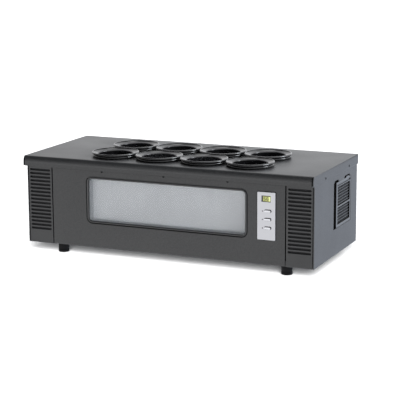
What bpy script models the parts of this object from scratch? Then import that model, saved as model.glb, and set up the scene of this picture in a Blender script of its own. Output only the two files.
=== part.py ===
"""Worktop wine cooler: a chilled cell for eight open bottles, whose necks stand out through collars in the lid.

Metres, +Z up. The origin is on the worktop, under the middle of the whole object's box. +X is to the right of
someone who stands in front of it, and -Y is the front.
"""

import math

import bmesh
import bpy
from mathutils import Matrix, Vector

# ---------------------------------------------------------------- driving dimensions

BODY_W = 0.700  # casing, across the side panels
BODY_D = 0.294  # casing, front panel to the back edge of the side panels
BODY_H = 0.204  # underside of the casing to the top of the lid
FOOT_H = 0.0245
LIP = 0.014  # how far the lid's front edge stands out
SHEET = 0.0015  # powder-coated sheet of the casing and the lid
GAP = 0.0003  # between pieces that touch
SEAM = 0.0022  # the open line between the front panel and an end grille

LEFT = -BODY_W / 2
RIGHT = BODY_W / 2
FRONT = -(BODY_D - LIP) / 2
BACK = FRONT + BODY_D
BOTTOM = FOOT_H
TOP = FOOT_H + BODY_H

# lid
LID_SKIRT = 0.0228  # height of its flanges
LID_NOSE_R = 0.008  # how far its rolled front edge reaches back
LID_NOSE_DROP = 0.014  # and down
LID_SIDE_ROOM = 0.0006  # between a flange and the side panel
LID_X = BODY_W / 2 + LID_SIDE_ROOM + SHEET
LID_SLOT = 0.0024  # open corner between the front edge and a side flange

# wells and collars
WELL_COLUMNS = 4
WELL_PITCH = 0.1105
WELL_MIDDLE_X = 0.0125
WELL_ROWS_Y = (FRONT + 0.0630, FRONT + 0.1716)
WELL_R = 0.039
COLLAR_R = 0.054
COLLAR_H = 0.011
COLLAR_SPIGOT_R = 0.044
COLLAR_SPIGOT_DEPTH = 0.014
LID_HOLE_R = COLLAR_SPIGOT_R + GAP
ROUND_STEPS = 24

# end grilles
GRILLE_W = 0.0654
PANEL_SEAM_X = 0.0026  # where a grille ends at the outer corner
SLOT_COUNT = 17
SLOT_PITCH = 0.0086
SLOT_H = 0.0046
SLOT_W = 0.053
SLOT_LOWEST = 0.0336
GRILLE_THICK = 0.0025
PANEL_RISE = 0.0016  # the front panel stops this far above the grilles' lower edge

# window
WINDOW = (LEFT + 0.1525, BOTTOM + 0.0557, LEFT + 0.547, BOTTOM + 0.1653)  # outer edge of the gasket
WINDOW_R = 0.015
GASKET_W = 0.0065
GASKET_PROUD = 0.0024
PANE_THICK = 0.003
PANE_MARGIN = 0.003  # how far the panes reach past the gasket's outer edge
OUTER_PANE_Y = FRONT + 0.0021
INNER_PANE_Y = FRONT + 0.0192
SPACER_W = 0.010

# chilled cell
CELL_X = 0.218  # half of its inner width, from WELL_MIDDLE_X
CELL_FRONT = FRONT + 0.024
CELL_BACK = FRONT + 0.232
CELL_FLOOR = BOTTOM + 0.044
CELL_TOP = BOTTOM + 0.1827
FOAM_X = 0.238
FOAM_FRONT = FRONT + 0.0048
FOAM_BACK = FRONT + 0.254
FOAM_BOTTOM = BOTTOM + 0.0022
COLLAR_HOLE_IN_FOAM = 0.0455

# thermoelectric modules, one at each end of the cell
MODULE_Y = FRONT + 0.197
MODULE_Z = BOTTOM + 0.112
COLD_BLOCK = 0.0396
SINK_SIZE = 0.100
SINK_BASE = 0.0049
SINK_DEPTH = 0.0349
FIN_COUNT = 11
FAN_SIZE = 0.092
FAN_DEPTH = 0.025

# small fan in the cell
CELL_FAN_SIZE = 0.060
CELL_FAN_DEPTH = 0.013

# controls
FASCIA = (LEFT + 0.5706, BOTTOM + 0.0562, LEFT + 0.6118, BOTTOM + 0.1613)
FASCIA_BACK = FRONT - GAP
FASCIA_THICK = 0.002
DISPLAY = (LEFT + 0.5805, BOTTOM + 0.1403, LEFT + 0.6012, BOTTOM + 0.1534)
BUTTON_X = LEFT + 0.5942
BUTTON_Z = (BOTTOM + 0.1196, BOTTOM + 0.1012, BOTTOM + 0.0823)
BUTTON_W = 0.0152
BUTTON_H = 0.0052
BUTTON_ROOM = 0.0003
INDICATOR_X = LEFT + 0.5825
INDICATOR_R = 0.0011
BOARD_Y = FRONT + 0.0056

# air filter in the right side
CUTOUT = (FRONT + 0.1280, BOTTOM + 0.0592, FRONT + 0.2478, BOTTOM + 0.1630)
FRONT_NOTCH = (FRONT + 0.1355, FRONT + 0.1565)  # middles of its two round corners
REAR_NOTCH = (FRONT + 0.2055, FRONT + 0.2345)
NOTCH_R = 0.0055
FILTER = (FRONT + 0.1475, BOTTOM + 0.0598, FRONT + 0.2472, BOTTOM + 0.1624)
FILTER_DEPTH = 0.007
FILTER_STILE_FRONT = 0.0085
FILTER_STILE_BACK = 0.0055
FILTER_RAIL_TOP = 0.0112
FILTER_RAIL_BOTTOM = 0.0060
FILTER_BAR = 0.0035
FILTER_BAR_Z = BOTTOM + 0.1063
FILTER_TAB = (FRONT + 0.2175, FRONT + 0.2325)  # middles of its two round corners
FILTER_TAB_R = 0.0035
PLEATS = 15

# feet and screws
FOOT_R = 0.0125
FOOT_INSET_X = 0.0734
FOOT_INSET_Y = 0.032
SCREW_STEPS = 12
SCREW_HOLE_R = 0.0018
FRONT_SCREW_PITCH = 0.1535
FRONT_SCREW_MIDDLE = -0.0034
FRONT_SCREW_Z = BOTTOM + 0.1772
SIDE_SCREWS_Y = (FRONT + 0.066, FRONT + 0.2275)
SIDE_SCREW_Z = BOTTOM + 0.1875

# mains inlet
REAR_PANEL_Y = BACK - 0.0045  # the rear panel's outer face, set in from the side panels' edges
INLET_X = LEFT + 0.060
INLET_Z = BOTTOM + 0.040


# ---------------------------------------------------------------- scene and materials


def clear_scene():
    for obj in list(bpy.data.objects):
        bpy.data.objects.remove(obj)


def make_material(name, colour, roughness, metallic=0.0, alpha=1.0):
    mat = bpy.data.materials.new(name)
    mat.use_nodes = True
    shader = mat.node_tree.nodes["Principled BSDF"]
    shader.inputs["Base Color"].default_value = (*colour, 1.0)
    shader.inputs["Roughness"].default_value = roughness
    shader.inputs["Metallic"].default_value = metallic
    shader.inputs["Alpha"].default_value = alpha
    mat.diffuse_color = (*colour, alpha)
    return mat


def make_materials():
    return {
        "coated_sheet": make_material("coated_sheet", (0.024, 0.0245, 0.0253), 0.43),
        "grille_plastic": make_material("grille_plastic", (0.024, 0.0245, 0.0253), 0.43),
        "collar_rubber": make_material("collar_rubber", (0.006, 0.006, 0.0065), 0.12),
        "gasket_rubber": make_material("gasket_rubber", (0.005, 0.005, 0.0055), 0.3),
        "foot_rubber": make_material("foot_rubber", (0.006, 0.006, 0.0065), 0.8),
        "glass": make_material("glass", (0.64, 0.66, 0.68), 0.15, alpha=0.35),
        "liner": make_material("liner", (0.70, 0.71, 0.72), 0.4),
        "foam": make_material("foam", (0.03, 0.03, 0.032), 0.9),
        "fascia": make_material("fascia", (0.58, 0.58, 0.60), 0.4),
        "button": make_material("button", (0.66, 0.66, 0.68), 0.35),
        "display": make_material("display", (0.45, 0.48, 0.12), 0.2),
        "indicator": make_material("indicator", (0.02, 0.02, 0.02), 0.3),
        "board": make_material("board", (0.03, 0.14, 0.06), 0.5),
        "filter_frame": make_material("filter_frame", (0.05, 0.052, 0.055), 0.4),
        "filter_mesh": make_material("filter_mesh", (0.05, 0.05, 0.055), 0.7),
        "aluminium": make_material("aluminium", (0.70, 0.71, 0.72), 0.35, 1.0),
        "anodised": make_material("anodised", (0.014, 0.014, 0.015), 0.45),
        "pale_plastic": make_material("pale_plastic", (0.62, 0.63, 0.65), 0.45),
        "ceramic": make_material("ceramic", (0.85, 0.84, 0.80), 0.5),
        "fan_plastic": make_material("fan_plastic", (0.02, 0.02, 0.022), 0.45),
        "lamp": make_material("lamp", (0.90, 0.90, 0.88), 0.3),
        "screw": make_material("screw", (0.01, 0.01, 0.011), 0.35),
    }


# ---------------------------------------------------------------- outlines, as lists of (u, v)


def arc(u, v, radius, start, end, steps):
    """Points from start to end degrees, both included."""
    points = []
    for index in range(steps + 1):
        angle = math.radians(start + (end - start) * index / steps)
        points.append((u + radius * math.cos(angle), v + radius * math.sin(angle)))
    return points


def circle(u, v, radius, steps):
    return arc(u, v, radius, 0, 360, steps)[:-1]


def rectangle(u0, v0, u1, v1):
    return [(u0, v0), (u1, v0), (u1, v1), (u0, v1)]


def rounded(u0, v0, u1, v1, radius, steps=4):
    points = arc(u1 - radius, v0 + radius, radius, -90, 0, steps)
    points += arc(u1 - radius, v1 - radius, radius, 0, 90, steps)
    points += arc(u0 + radius, v1 - radius, radius, 90, 180, steps)
    points += arc(u0 + radius, v0 + radius, radius, 180, 270, steps)
    return points


def pill(u, v, width, height, steps=4):
    radius = height / 2
    reach = width / 2 - radius
    return arc(u + reach, v, radius, -90, 90, steps) + arc(u - reach, v, radius, 90, 270, steps)


def grown(box, amount):
    u0, v0, u1, v1 = box
    return (u0 - amount, v0 - amount, u1 + amount, v1 + amount)


def placed(points, axis, level):
    """The outline's points in space, on the plane where the axis has this level."""
    if axis == "X":
        return [Vector((level, u, v)) for u, v in points]
    if axis == "Y":
        return [Vector((u, level, v)) for u, v in points]
    return [Vector((u, v, level)) for u, v in points]


# ---------------------------------------------------------------- solids


def finish(name, bm, mat, smooth_angle=None):
    bmesh.ops.recalc_face_normals(bm, faces=bm.faces)
    mesh = bpy.data.meshes.new(name)
    bm.to_mesh(mesh)
    bm.free()
    if smooth_angle is not None:
        mesh.shade_smooth()
        mesh.set_sharp_from_angle(angle=math.radians(smooth_angle))
    obj = bpy.data.objects.new(name, mesh)
    bpy.context.scene.collection.objects.link(obj)
    if mat is not None:
        mesh.materials.append(mat)
    return obj


def prism(name, axis, low, high, outlines, mat=None, smooth_angle=None):
    """A flat solid between two levels of an axis. The first outline is its edge, and the others are holes."""
    bm = bmesh.new()
    lift = placed([(0, 0)], axis, high - low)[0]
    pairs = {}
    sides = []
    for outline in outlines:
        lower = [bm.verts.new(point) for point in placed(outline, axis, low)]
        upper = [bm.verts.new(vert.co + lift) for vert in lower]
        pairs.update(zip(lower, upper))
        sides.append(list(zip(lower, lower[1:] + lower[:1])))
    edges = [bm.edges.new(pair) for side in sides for pair in side]
    bmesh.ops.triangle_fill(bm, edges=edges, use_beauty=True, normal=lift.normalized())
    for face in list(bm.faces):
        bm.faces.new([pairs[vert] for vert in face.verts])
    for side in sides:
        for start, end in side:
            bm.faces.new((start, end, pairs[end], pairs[start]))
    return finish(name, bm, mat, smooth_angle)


def loft(name, rings, mat=None, closed=False, smooth_angle=None):
    """A solid through rings of equal length. A closed loft joins the last ring to the first one."""
    bm = bmesh.new()
    loops = [[bm.verts.new(point) for point in ring] for ring in rings]
    spans = list(zip(loops, loops[1:]))
    if closed:
        spans.append((loops[-1], loops[0]))
    else:
        bm.faces.new(loops[0])
        bm.faces.new(loops[-1])
    count = len(loops[0])
    for first, second in spans:
        for index in range(count):
            after = (index + 1) % count
            bm.faces.new((first[index], first[after], second[after], second[index]))
    return finish(name, bm, mat, smooth_angle)


def turned(name, axis, profile, mat=None, steps=ROUND_STEPS, closed=False, smooth_angle=40):
    """A round solid about an axis through the origin, from (radius, level) points."""
    rings = [placed(circle(0, 0, radius, steps), axis, level) for radius, level in profile]
    return loft(name, rings, mat, closed, smooth_angle)


def block(name, low, high, mat=None):
    outline = rectangle(low[0], low[1], high[0], high[1])
    return prism(name, "Z", low[2], high[2], [outline], mat)


def open_box(name, low, high, inner_low, inner_high, mat):
    """A box that is open at the top: the inner box is its hollow."""
    outer = rectangle(low[0], low[1], high[0], high[1])
    inner = rectangle(inner_low[0], inner_low[1], inner_high[0], inner_high[1])
    rings = [
        placed(outer, "Z", low[2]),
        placed(outer, "Z", high[2]),
        placed(inner, "Z", high[2]),
        placed(inner, "Z", inner_low[2]),
    ]
    return loft(name, rings, mat)


def combine(obj, tool, operation):
    modifier = obj.modifiers.new(tool.name, "BOOLEAN")
    modifier.operation = operation
    modifier.solver = "EXACT"
    modifier.object = tool
    tool.hide_render = True
    tool.display_type = "WIRE"


def cut(obj, tool):
    combine(obj, tool, "DIFFERENCE")


def add(obj, tool):
    combine(obj, tool, "UNION")


def apply_tools(obj):
    """Makes the result of the object's Booleans its own mesh, so that copies need no tools beside them."""
    tools = [modifier.object for modifier in obj.modifiers]
    graph = bpy.context.evaluated_depsgraph_get()
    obj.data = bpy.data.meshes.new_from_object(obj.evaluated_get(graph))
    obj.modifiers.clear()
    for tool in tools:
        bpy.data.objects.remove(tool)


def set_origin(obj, point):
    """Moves the object's origin and leaves its shape where it is."""
    obj.data.transform(Matrix.Translation(-Vector(point)))
    obj.location = point


def copy_of(obj, name, location, turn_z=0.0):
    """Another object with the same mesh."""
    copy = obj.copy()
    copy.name = name
    bpy.context.scene.collection.objects.link(copy)
    copy.location = location
    copy.rotation_euler = (0, 0, turn_z)
    return copy


# ---------------------------------------------------------------- wells


def well_centres():
    """(column, row, x, y) of each well, from the front left one."""
    centres = []
    for row, y in enumerate(WELL_ROWS_Y):
        for column in range(WELL_COLUMNS):
            x = WELL_MIDDLE_X + (column - (WELL_COLUMNS - 1) / 2) * WELL_PITCH
            centres.append((column, row, x, y))
    return centres


def well_outlines(radius, steps):
    return [circle(x, y, radius, steps) for column, row, x, y in well_centres()]


def collar_profile():
    """(radius, level above the lid): spigot, dished top, crest and outer wall."""
    crest = arc(COLLAR_R - 0.004, COLLAR_H - 0.004, 0.004, 90, 0, 3)
    return [
        (WELL_R, -COLLAR_SPIGOT_DEPTH),
        (WELL_R, 0.0045),
        (WELL_R + 0.0025, 0.0068),
        *crest,
        (COLLAR_R, GAP),
        (COLLAR_SPIGOT_R, GAP),
        (COLLAR_SPIGOT_R, -COLLAR_SPIGOT_DEPTH),
    ]


def make_collars(mats):
    first = turned("collar", "Z", collar_profile(), mats["collar_rubber"], closed=True)
    row_names = ("front", "rear")
    for column, row, x, y in well_centres():
        name = f"collar_{row_names[row]}_{column + 1}"
        copy_of(first, name, (x, y, TOP))
    bpy.data.objects.remove(first)


# ---------------------------------------------------------------- lid and casing


def lid_nose(depth, start, end):
    """The rolled front edge as (y, z), this far inside the sheet's outer face."""
    nose = []
    for u, v in arc(0, 0, 1, start, end, 6):
        y = FRONT - LIP + LID_NOSE_R + u * (LID_NOSE_R - depth)
        nose.append((y, TOP - LID_NOSE_DROP + v * (LID_NOSE_DROP - depth)))
    return nose


def lid_section():
    """The lid's section across the depth, as (y, z): front return, rolled edge, top and rear flange."""
    skirt = TOP - LID_SKIRT
    return [
        (FRONT - 0.0005, skirt),
        (FRONT - LIP, skirt),
        *lid_nose(0, 180, 90),
        (BACK, TOP),
        (BACK, skirt),
        (BACK - SHEET, skirt),
        (BACK - SHEET, TOP - SHEET),
        *lid_nose(SHEET, 90, 180),
        (FRONT - LIP + SHEET, skirt + SHEET),
        (FRONT - 0.0005, skirt + SHEET),
    ]


def make_lid(mats):
    """The rolled front edge stops short of the side flanges, and leaves an open slot at both corners."""
    lid = prism("lid", "X", -LID_X, LID_X, [lid_section()], mats["coated_sheet"], 30)
    skirt = TOP - LID_SKIRT
    nose_start = FRONT - LIP + LID_NOSE_R
    corner = rectangle(FRONT - 2 * LIP, skirt - SHEET, nose_start, TOP + SHEET)
    under_top = rectangle(FRONT - 2 * LIP, skirt - SHEET, FRONT, TOP - SHEET)
    flange = [(FRONT - LIP, skirt), *lid_nose(0, 180, 90), (BACK, TOP), (BACK, skirt)]
    for side in (-1, 1):
        near, far = sorted((side * (LID_X - SHEET - LID_SLOT), side * (LID_X + SHEET)))
        cut(lid, prism(f"lid_corner_{side}", "X", near, far, [corner]))
        cut(lid, prism(f"lid_return_end_{side}", "X", near, far, [under_top]))
        near, far = sorted((side * (LID_X - SHEET), side * LID_X))
        add(lid, prism(f"lid_flange_{side}", "X", near, far, [flange]))
    for index, outline in enumerate(well_outlines(LID_HOLE_R, ROUND_STEPS)):
        cut(lid, prism(f"lid_hole_{index}", "Z", TOP - 0.01, TOP + 0.01, [outline]))
    for index, y in enumerate(SIDE_SCREWS_Y):
        hole = circle(y, SIDE_SCREW_Z, SCREW_HOLE_R, SCREW_STEPS)
        cut(lid, prism(f"lid_screw_hole_{index}", "X", -BODY_W, BODY_W, [hole]))


def front_screw_positions():
    return [FRONT_SCREW_MIDDLE + index * FRONT_SCREW_PITCH for index in (-1, 0, 1)]


def make_front_panel(mats):
    low_x = LEFT + GRILLE_W + SEAM / 2
    outline = rectangle(low_x, BOTTOM + PANEL_RISE, -low_x, TOP - SHEET - GAP)
    window = rounded(*grown(WINDOW, -0.003), WINDOW_R - 0.003)
    controls = rectangle(*grown(FASCIA, -0.005))
    holes = [circle(x, FRONT_SCREW_Z, SCREW_HOLE_R, SCREW_STEPS) for x in front_screw_positions()]
    outlines = [outline, window, controls, *holes]
    prism("front_panel", "Y", FRONT, FRONT + SHEET, outlines, mats["coated_sheet"])


def make_grille(name, side, mats):
    """An end grille: a moulded plate with a ladder of long slots."""
    inner = side * (BODY_W / 2 - GRILLE_W + SEAM / 2)
    outer = side * (BODY_W / 2 - PANEL_SEAM_X)
    low_x, high_x = sorted((inner, outer))
    middle = (low_x + high_x) / 2
    outlines = [rectangle(low_x, BOTTOM, high_x, TOP - SHEET - GAP)]
    for index in range(SLOT_COUNT):
        z = BOTTOM + SLOT_LOWEST + index * SLOT_PITCH
        outlines.append(pill(middle, z, SLOT_W, SLOT_H, 3))
    prism(name, "Y", FRONT, FRONT + GRILLE_THICK, outlines, mats["grille_plastic"])


def side_outline():
    return rectangle(FRONT, BOTTOM, BACK - SHEET - GAP, TOP - SHEET - GAP)


def side_screw_holes():
    return [circle(y, SIDE_SCREW_Z, SCREW_HOLE_R, SCREW_STEPS) for y in SIDE_SCREWS_Y]


def bump(low_u, high_u, v, radius):
    """Upper half of a pill whose round ends have these middles, from its high end."""
    return arc(high_u, v, radius, 0, 90, 3) + arc(low_u, v, radius, 90, 180, 3)


def filter_cutout():
    """The opening for the air filter, with two finger notches in its top edge."""
    y0, z0, y1, z1 = CUTOUT
    rear_notch = bump(*REAR_NOTCH, z1, NOTCH_R)
    front_notch = bump(*FRONT_NOTCH, z1, NOTCH_R)
    return [(y0, z0), (y1, z0), (y1, z1), *rear_notch, *front_notch, (y0, z1)]


def make_side_panels(mats):
    thick = 0.002
    left = [side_outline(), *side_screw_holes()]
    prism("left_side_panel", "X", LEFT, LEFT + thick, left, mats["coated_sheet"])
    right = [side_outline(), filter_cutout(), *side_screw_holes()]
    prism("right_side_panel", "X", RIGHT - thick, RIGHT, right, mats["coated_sheet"])


def make_rear_panel(mats):
    x = BODY_W / 2 - 0.0026
    outlines = [rectangle(-x, BOTTOM, x, TOP - SHEET - GAP)]
    outlines.append(rectangle(INLET_X - 0.0142, INLET_Z - 0.0102, INLET_X + 0.0142, INLET_Z + 0.0102))
    for side in (-1, 1):
        for index in range(8):
            z = BOTTOM + 0.070 + index * 0.012
            outlines.append(pill(side * 0.290, z, 0.070, 0.005, 3))
    prism("rear_panel", "Y", REAR_PANEL_Y - SHEET, REAR_PANEL_Y, outlines, mats["coated_sheet"])


def make_base_pan(mats):
    x = BODY_W / 2 - 0.0026
    low = (-x, FRONT + 0.003, BOTTOM)
    high = (x, REAR_PANEL_Y - SHEET - GAP, BOTTOM + 0.012)
    inner_low = (low[0] + SHEET, low[1] + SHEET, BOTTOM + SHEET)
    inner_high = (high[0] - SHEET, high[1] - SHEET, high[2])
    open_box("base_pan", low, high, inner_low, inner_high, mats["coated_sheet"])


# ---------------------------------------------------------------- window


def frame_ring(box, radius, inset, y, steps=4):
    """A rounded rectangle of the window's shape, this far inside its edge."""
    return placed(rounded(*grown(box, -inset), radius - inset, steps), "Y", y)


def make_window(mats):
    profile = [
        (0.0, FRONT - GAP),
        (0.0008, FRONT - GASKET_PROUD * 0.75),
        (0.0030, FRONT - GASKET_PROUD),
        (0.0052, FRONT - GASKET_PROUD * 0.75),
        (GASKET_W, FRONT - GAP),
        (GASKET_W, FRONT + SHEET + GAP),
        (0.0033, FRONT + SHEET + GAP),
        (0.0033, FRONT - GAP),
    ]
    rings = [frame_ring(WINDOW, WINDOW_R, inset, y) for inset, y in profile]
    loft("window_gasket", rings, mats["gasket_rubber"], closed=True, smooth_angle=50)
    pane = rectangle(*grown(WINDOW, PANE_MARGIN))
    spacer_hole = rectangle(*grown(WINDOW, PANE_MARGIN - SPACER_W))
    spacer_front = OUTER_PANE_Y + PANE_THICK + GAP
    prism("outer_pane", "Y", OUTER_PANE_Y, OUTER_PANE_Y + PANE_THICK, [pane], mats["glass"])
    prism("glazing_spacer", "Y", spacer_front, INNER_PANE_Y - GAP, [pane, spacer_hole], mats["aluminium"])
    prism("inner_pane", "Y", INNER_PANE_Y, INNER_PANE_Y + PANE_THICK, [pane], mats["glass"])


# ---------------------------------------------------------------- chilled cell


def make_cell(mats):
    left = WELL_MIDDLE_X - CELL_X
    right = WELL_MIDDLE_X + CELL_X
    low = (left - SHEET, CELL_FRONT - SHEET, CELL_FLOOR - SHEET)
    high = (right + SHEET, CELL_BACK + SHEET, CELL_TOP)
    liner = open_box(
        "cell_liner", low, high, (left, CELL_FRONT, CELL_FLOOR), (right, CELL_BACK, CELL_TOP), mats["liner"]
    )
    window = rounded(*grown(WINDOW, PANE_MARGIN - SPACER_W), WINDOW_R - GASKET_W)
    cut(liner, prism("liner_window", "Y", CELL_FRONT - 0.01, CELL_FRONT + 0.01, [window]))

    foam_low = (WELL_MIDDLE_X - FOAM_X, FOAM_FRONT, FOAM_BOTTOM)
    foam_high = (WELL_MIDDLE_X + FOAM_X, FOAM_BACK, CELL_TOP)
    hollow_low = tuple(value - GAP for value in low)
    hollow_high = (high[0] + GAP, high[1] + GAP, CELL_TOP)
    foam = open_box("foam_jacket", foam_low, foam_high, hollow_low, hollow_high, mats["foam"])
    glazing = rectangle(*grown(WINDOW, PANE_MARGIN + 0.001))
    cut(foam, prism("foam_window", "Y", FOAM_FRONT - 0.01, CELL_FRONT, [glazing]))
    controls = rectangle(*grown(FASCIA, -0.004))
    cut(foam, prism("foam_controls", "Y", FOAM_FRONT - 0.01, BOARD_Y + 0.006, [controls]))
    half = COLD_BLOCK / 2 + 0.0005
    port = rectangle(MODULE_Y - half, MODULE_Z - half, MODULE_Y + half, MODULE_Z + half)
    for side in (-1, 1):
        near = WELL_MIDDLE_X + side * (CELL_X + SHEET)
        far = WELL_MIDDLE_X + side * (FOAM_X + 0.01)
        cut(foam, prism(f"foam_port_{side}", "X", *sorted((near, far)), [port]))

    top = [rectangle(foam_low[0], foam_low[1], foam_high[0], foam_high[1])]
    top += well_outlines(COLLAR_HOLE_IN_FOAM, 24)
    prism("top_insulation", "Z", CELL_TOP + GAP, TOP - SHEET - GAP, top, mats["foam"])

    lamp_low = (WELL_MIDDLE_X - 0.100, CELL_FRONT + GAP, CELL_TOP - 0.008)
    lamp_high = (WELL_MIDDLE_X + 0.100, CELL_FRONT + 0.008, CELL_TOP - GAP)
    block("cell_lamp", lamp_low, lamp_high, mats["lamp"])


# ---------------------------------------------------------------- fans and thermoelectric modules


def rotor_outline(hub_r, tip_r, blades, blade_degrees):
    """A hub with straight blades, as one outline about the origin."""
    points = []
    step = 360 / blades
    for index in range(blades):
        start = index * step
        points += arc(0, 0, tip_r, start, start + blade_degrees, 2)
        points += arc(0, 0, hub_r, start + blade_degrees * 1.6, start + step - blade_degrees * 0.6, 2)
    return points


def twisted(points, degrees):
    angle = math.radians(degrees)
    cos, sin = math.cos(angle), math.sin(angle)
    return [(u * cos - v * sin, u * sin + v * cos) for u, v in points]


def make_rotor(name, axis, hub_r, tip_r, low, high, mat):
    outline = rotor_outline(hub_r, tip_r, 7, 12)
    layers = 3
    rings = []
    for index in range(layers + 1):
        level = low + (high - low) * index / layers
        rings.append(placed(twisted(outline, 34 * index / layers), axis, level))
    return loft(name, rings, mat)


def sector(outer_r, inner_r, start, strut):
    """The opening between two struts, a quarter of a ring."""
    outer_room = math.degrees(strut / 2 / outer_r)
    inner_room = math.degrees(strut / 2 / inner_r)
    points = arc(0, 0, outer_r, start + outer_room, start + 90 - outer_room, 5)
    points += arc(0, 0, inner_r, start + 90 - inner_room, start + inner_room, 3)
    return points


def make_fan_frame(name, axis, size, depth, bore_r, hub_r, mat):
    """A square frame about the origin, with four struts to a motor seat on its low side."""
    half = size / 2
    strut = 0.003
    low = -depth / 2
    edge = rounded(-half, -half, half, half, size * 0.05, 2)
    frame = prism(name, axis, low, depth / 2, [edge, circle(0, 0, bore_r, 24)], mat)
    inner = half - 0.001
    plate = [rounded(-inner, -inner, inner, inner, size * 0.05, 2)]
    plate += [sector(bore_r - 0.0005, hub_r, quarter * 90 + 45, strut) for quarter in range(4)]
    struts = prism(f"{name}_struts", axis, low + 0.0003, low + strut, plate)
    add(frame, struts)
    apply_tools(frame)
    return frame


def heat_sink_outline(side):
    """Comb of fins seen from above, as (x, y): the base is next to the module, and the fins point away."""
    near = FOAM_X + 0.0041
    root = near + SINK_BASE
    far = near + SINK_DEPTH
    start = MODULE_Y - SINK_SIZE / 2
    fin = 0.0025
    step = (SINK_SIZE - fin) / (FIN_COUNT - 1)
    points = [(near, start + SINK_SIZE), (near, start)]
    for index in range(FIN_COUNT):
        y = start + index * step
        if index:
            points.append((root, y))
        points += [(far, y), (far, y + fin)]
        if index < FIN_COUNT - 1:
            points.append((root, y + fin))
    return [(WELL_MIDDLE_X + side * u, v) for u, v in points]


def make_modules(mats):
    half = COLD_BLOCK / 2
    half_module = 0.020
    half_sink = SINK_SIZE / 2
    fan_x = FOAM_X + 0.0041 + SINK_DEPTH + 0.0005 + FAN_DEPTH / 2
    fan = make_fan_frame("end_fan_frame", "X", FAN_SIZE, FAN_DEPTH, 0.0435, 0.0195, mats["fan_plastic"])
    rotor = make_rotor("end_fan_rotor", "X", 0.0185, 0.042, -0.0085, 0.0105, mats["fan_plastic"])
    for side, word in ((-1, "left"), (1, "right")):
        x0, x1 = sorted(WELL_MIDDLE_X + side * d for d in (CELL_X + SHEET + GAP, FOAM_X - GAP))
        block(
            f"cold_block_{word}",
            (x0, MODULE_Y - half, MODULE_Z - half),
            (x1, MODULE_Y + half, MODULE_Z + half),
            mats["aluminium"],
        )
        x0, x1 = sorted(WELL_MIDDLE_X + side * d for d in (FOAM_X, FOAM_X + 0.0038))
        block(
            f"thermoelectric_{word}",
            (x0, MODULE_Y - half_module, MODULE_Z - half_module),
            (x1, MODULE_Y + half_module, MODULE_Z + half_module),
            mats["ceramic"],
        )
        outline = heat_sink_outline(side)
        prism(f"heat_sink_{word}", "Z", MODULE_Z - half_sink, MODULE_Z + half_sink, [outline], mats["anodised"])
        centre = (WELL_MIDDLE_X + side * fan_x, MODULE_Y, MODULE_Z)
        turn = 0.0 if side > 0 else math.pi
        copy_of(fan, f"fan_frame_{word}", centre, turn)
        copy_of(rotor, f"fan_rotor_{word}", centre, turn)
    bpy.data.objects.remove(rotor)
    bpy.data.objects.remove(fan)


def make_cell_fan(mats):
    centre = (WELL_MIDDLE_X, CELL_BACK - GAP - CELL_FAN_DEPTH / 2, BOTTOM + 0.120)
    mat = mats["pale_plastic"]
    frame = make_fan_frame("cell_fan_frame", "Y", CELL_FAN_SIZE, CELL_FAN_DEPTH, 0.0275, 0.0125, mat)
    rotor = make_rotor("cell_fan_rotor", "Y", 0.0115, 0.026, -0.0030, 0.0050, mat)
    frame.location = centre
    rotor.location = centre


# ---------------------------------------------------------------- controls


def make_controls(mats):
    face = FASCIA_BACK - FASCIA_THICK
    outlines = [rounded(*FASCIA, 0.0015, 2), rectangle(*grown(DISPLAY, GAP))]
    for z in BUTTON_Z:
        outlines.append(pill(BUTTON_X, z, BUTTON_W + 2 * BUTTON_ROOM, BUTTON_H + 2 * BUTTON_ROOM))
        outlines.append(circle(INDICATOR_X, z, INDICATOR_R + BUTTON_ROOM, 8))
    prism("control_fascia", "Y", face, FASCIA_BACK, outlines, mats["fascia"])
    display = [rectangle(*DISPLAY)]
    prism("display_lens", "Y", face - 0.0003, BOARD_Y - GAP, display, mats["display"])
    board = [rectangle(FASCIA[0] + 0.006, FASCIA[1] + 0.006, FASCIA[2] - 0.006, FASCIA[3] - 0.006)]
    prism("control_board", "Y", BOARD_Y, BOARD_Y + 0.0016, board, mats["board"])
    make_buttons(face, mats)


def make_buttons(face, mats):
    """Each button has a pill-shaped cap, a wider flange behind the fascia and a stem towards the board."""
    cap = pill(0, 0, BUTTON_W, BUTTON_H)
    flange = pill(0, 0, BUTTON_W + 0.002, BUTTON_H + 0.002)
    stem = pill(0, 0, 0.006, 0.003)
    crown = pill(0, 0, BUTTON_W - 0.0012, BUTTON_H - 0.0012)
    back = FASCIA_BACK + GAP
    levels = [
        (crown, face - 0.0016),
        (cap, face - 0.0011),
        (cap, back),
        (flange, back),
        (flange, back + 0.0009),
        (stem, back + 0.0009),
        (stem, BOARD_Y - 0.0013),
    ]
    rings = [placed(outline, "Y", y - FRONT) for outline, y in levels]
    button = loft("button", rings, mats["button"])
    light = turned(
        "indicator", "Y", [(INDICATOR_R, face - 0.0002 - FRONT), (INDICATOR_R, BOARD_Y - GAP - FRONT)],
        mats["indicator"], steps=8,
    )
    for index, z in enumerate(BUTTON_Z):
        copy_of(button, f"button_{index + 1}", (BUTTON_X, FRONT, z))
        copy_of(light, f"indicator_{index + 1}", (INDICATOR_X, FRONT, z))
    bpy.data.objects.remove(button)
    bpy.data.objects.remove(light)


# ---------------------------------------------------------------- air filter


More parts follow.
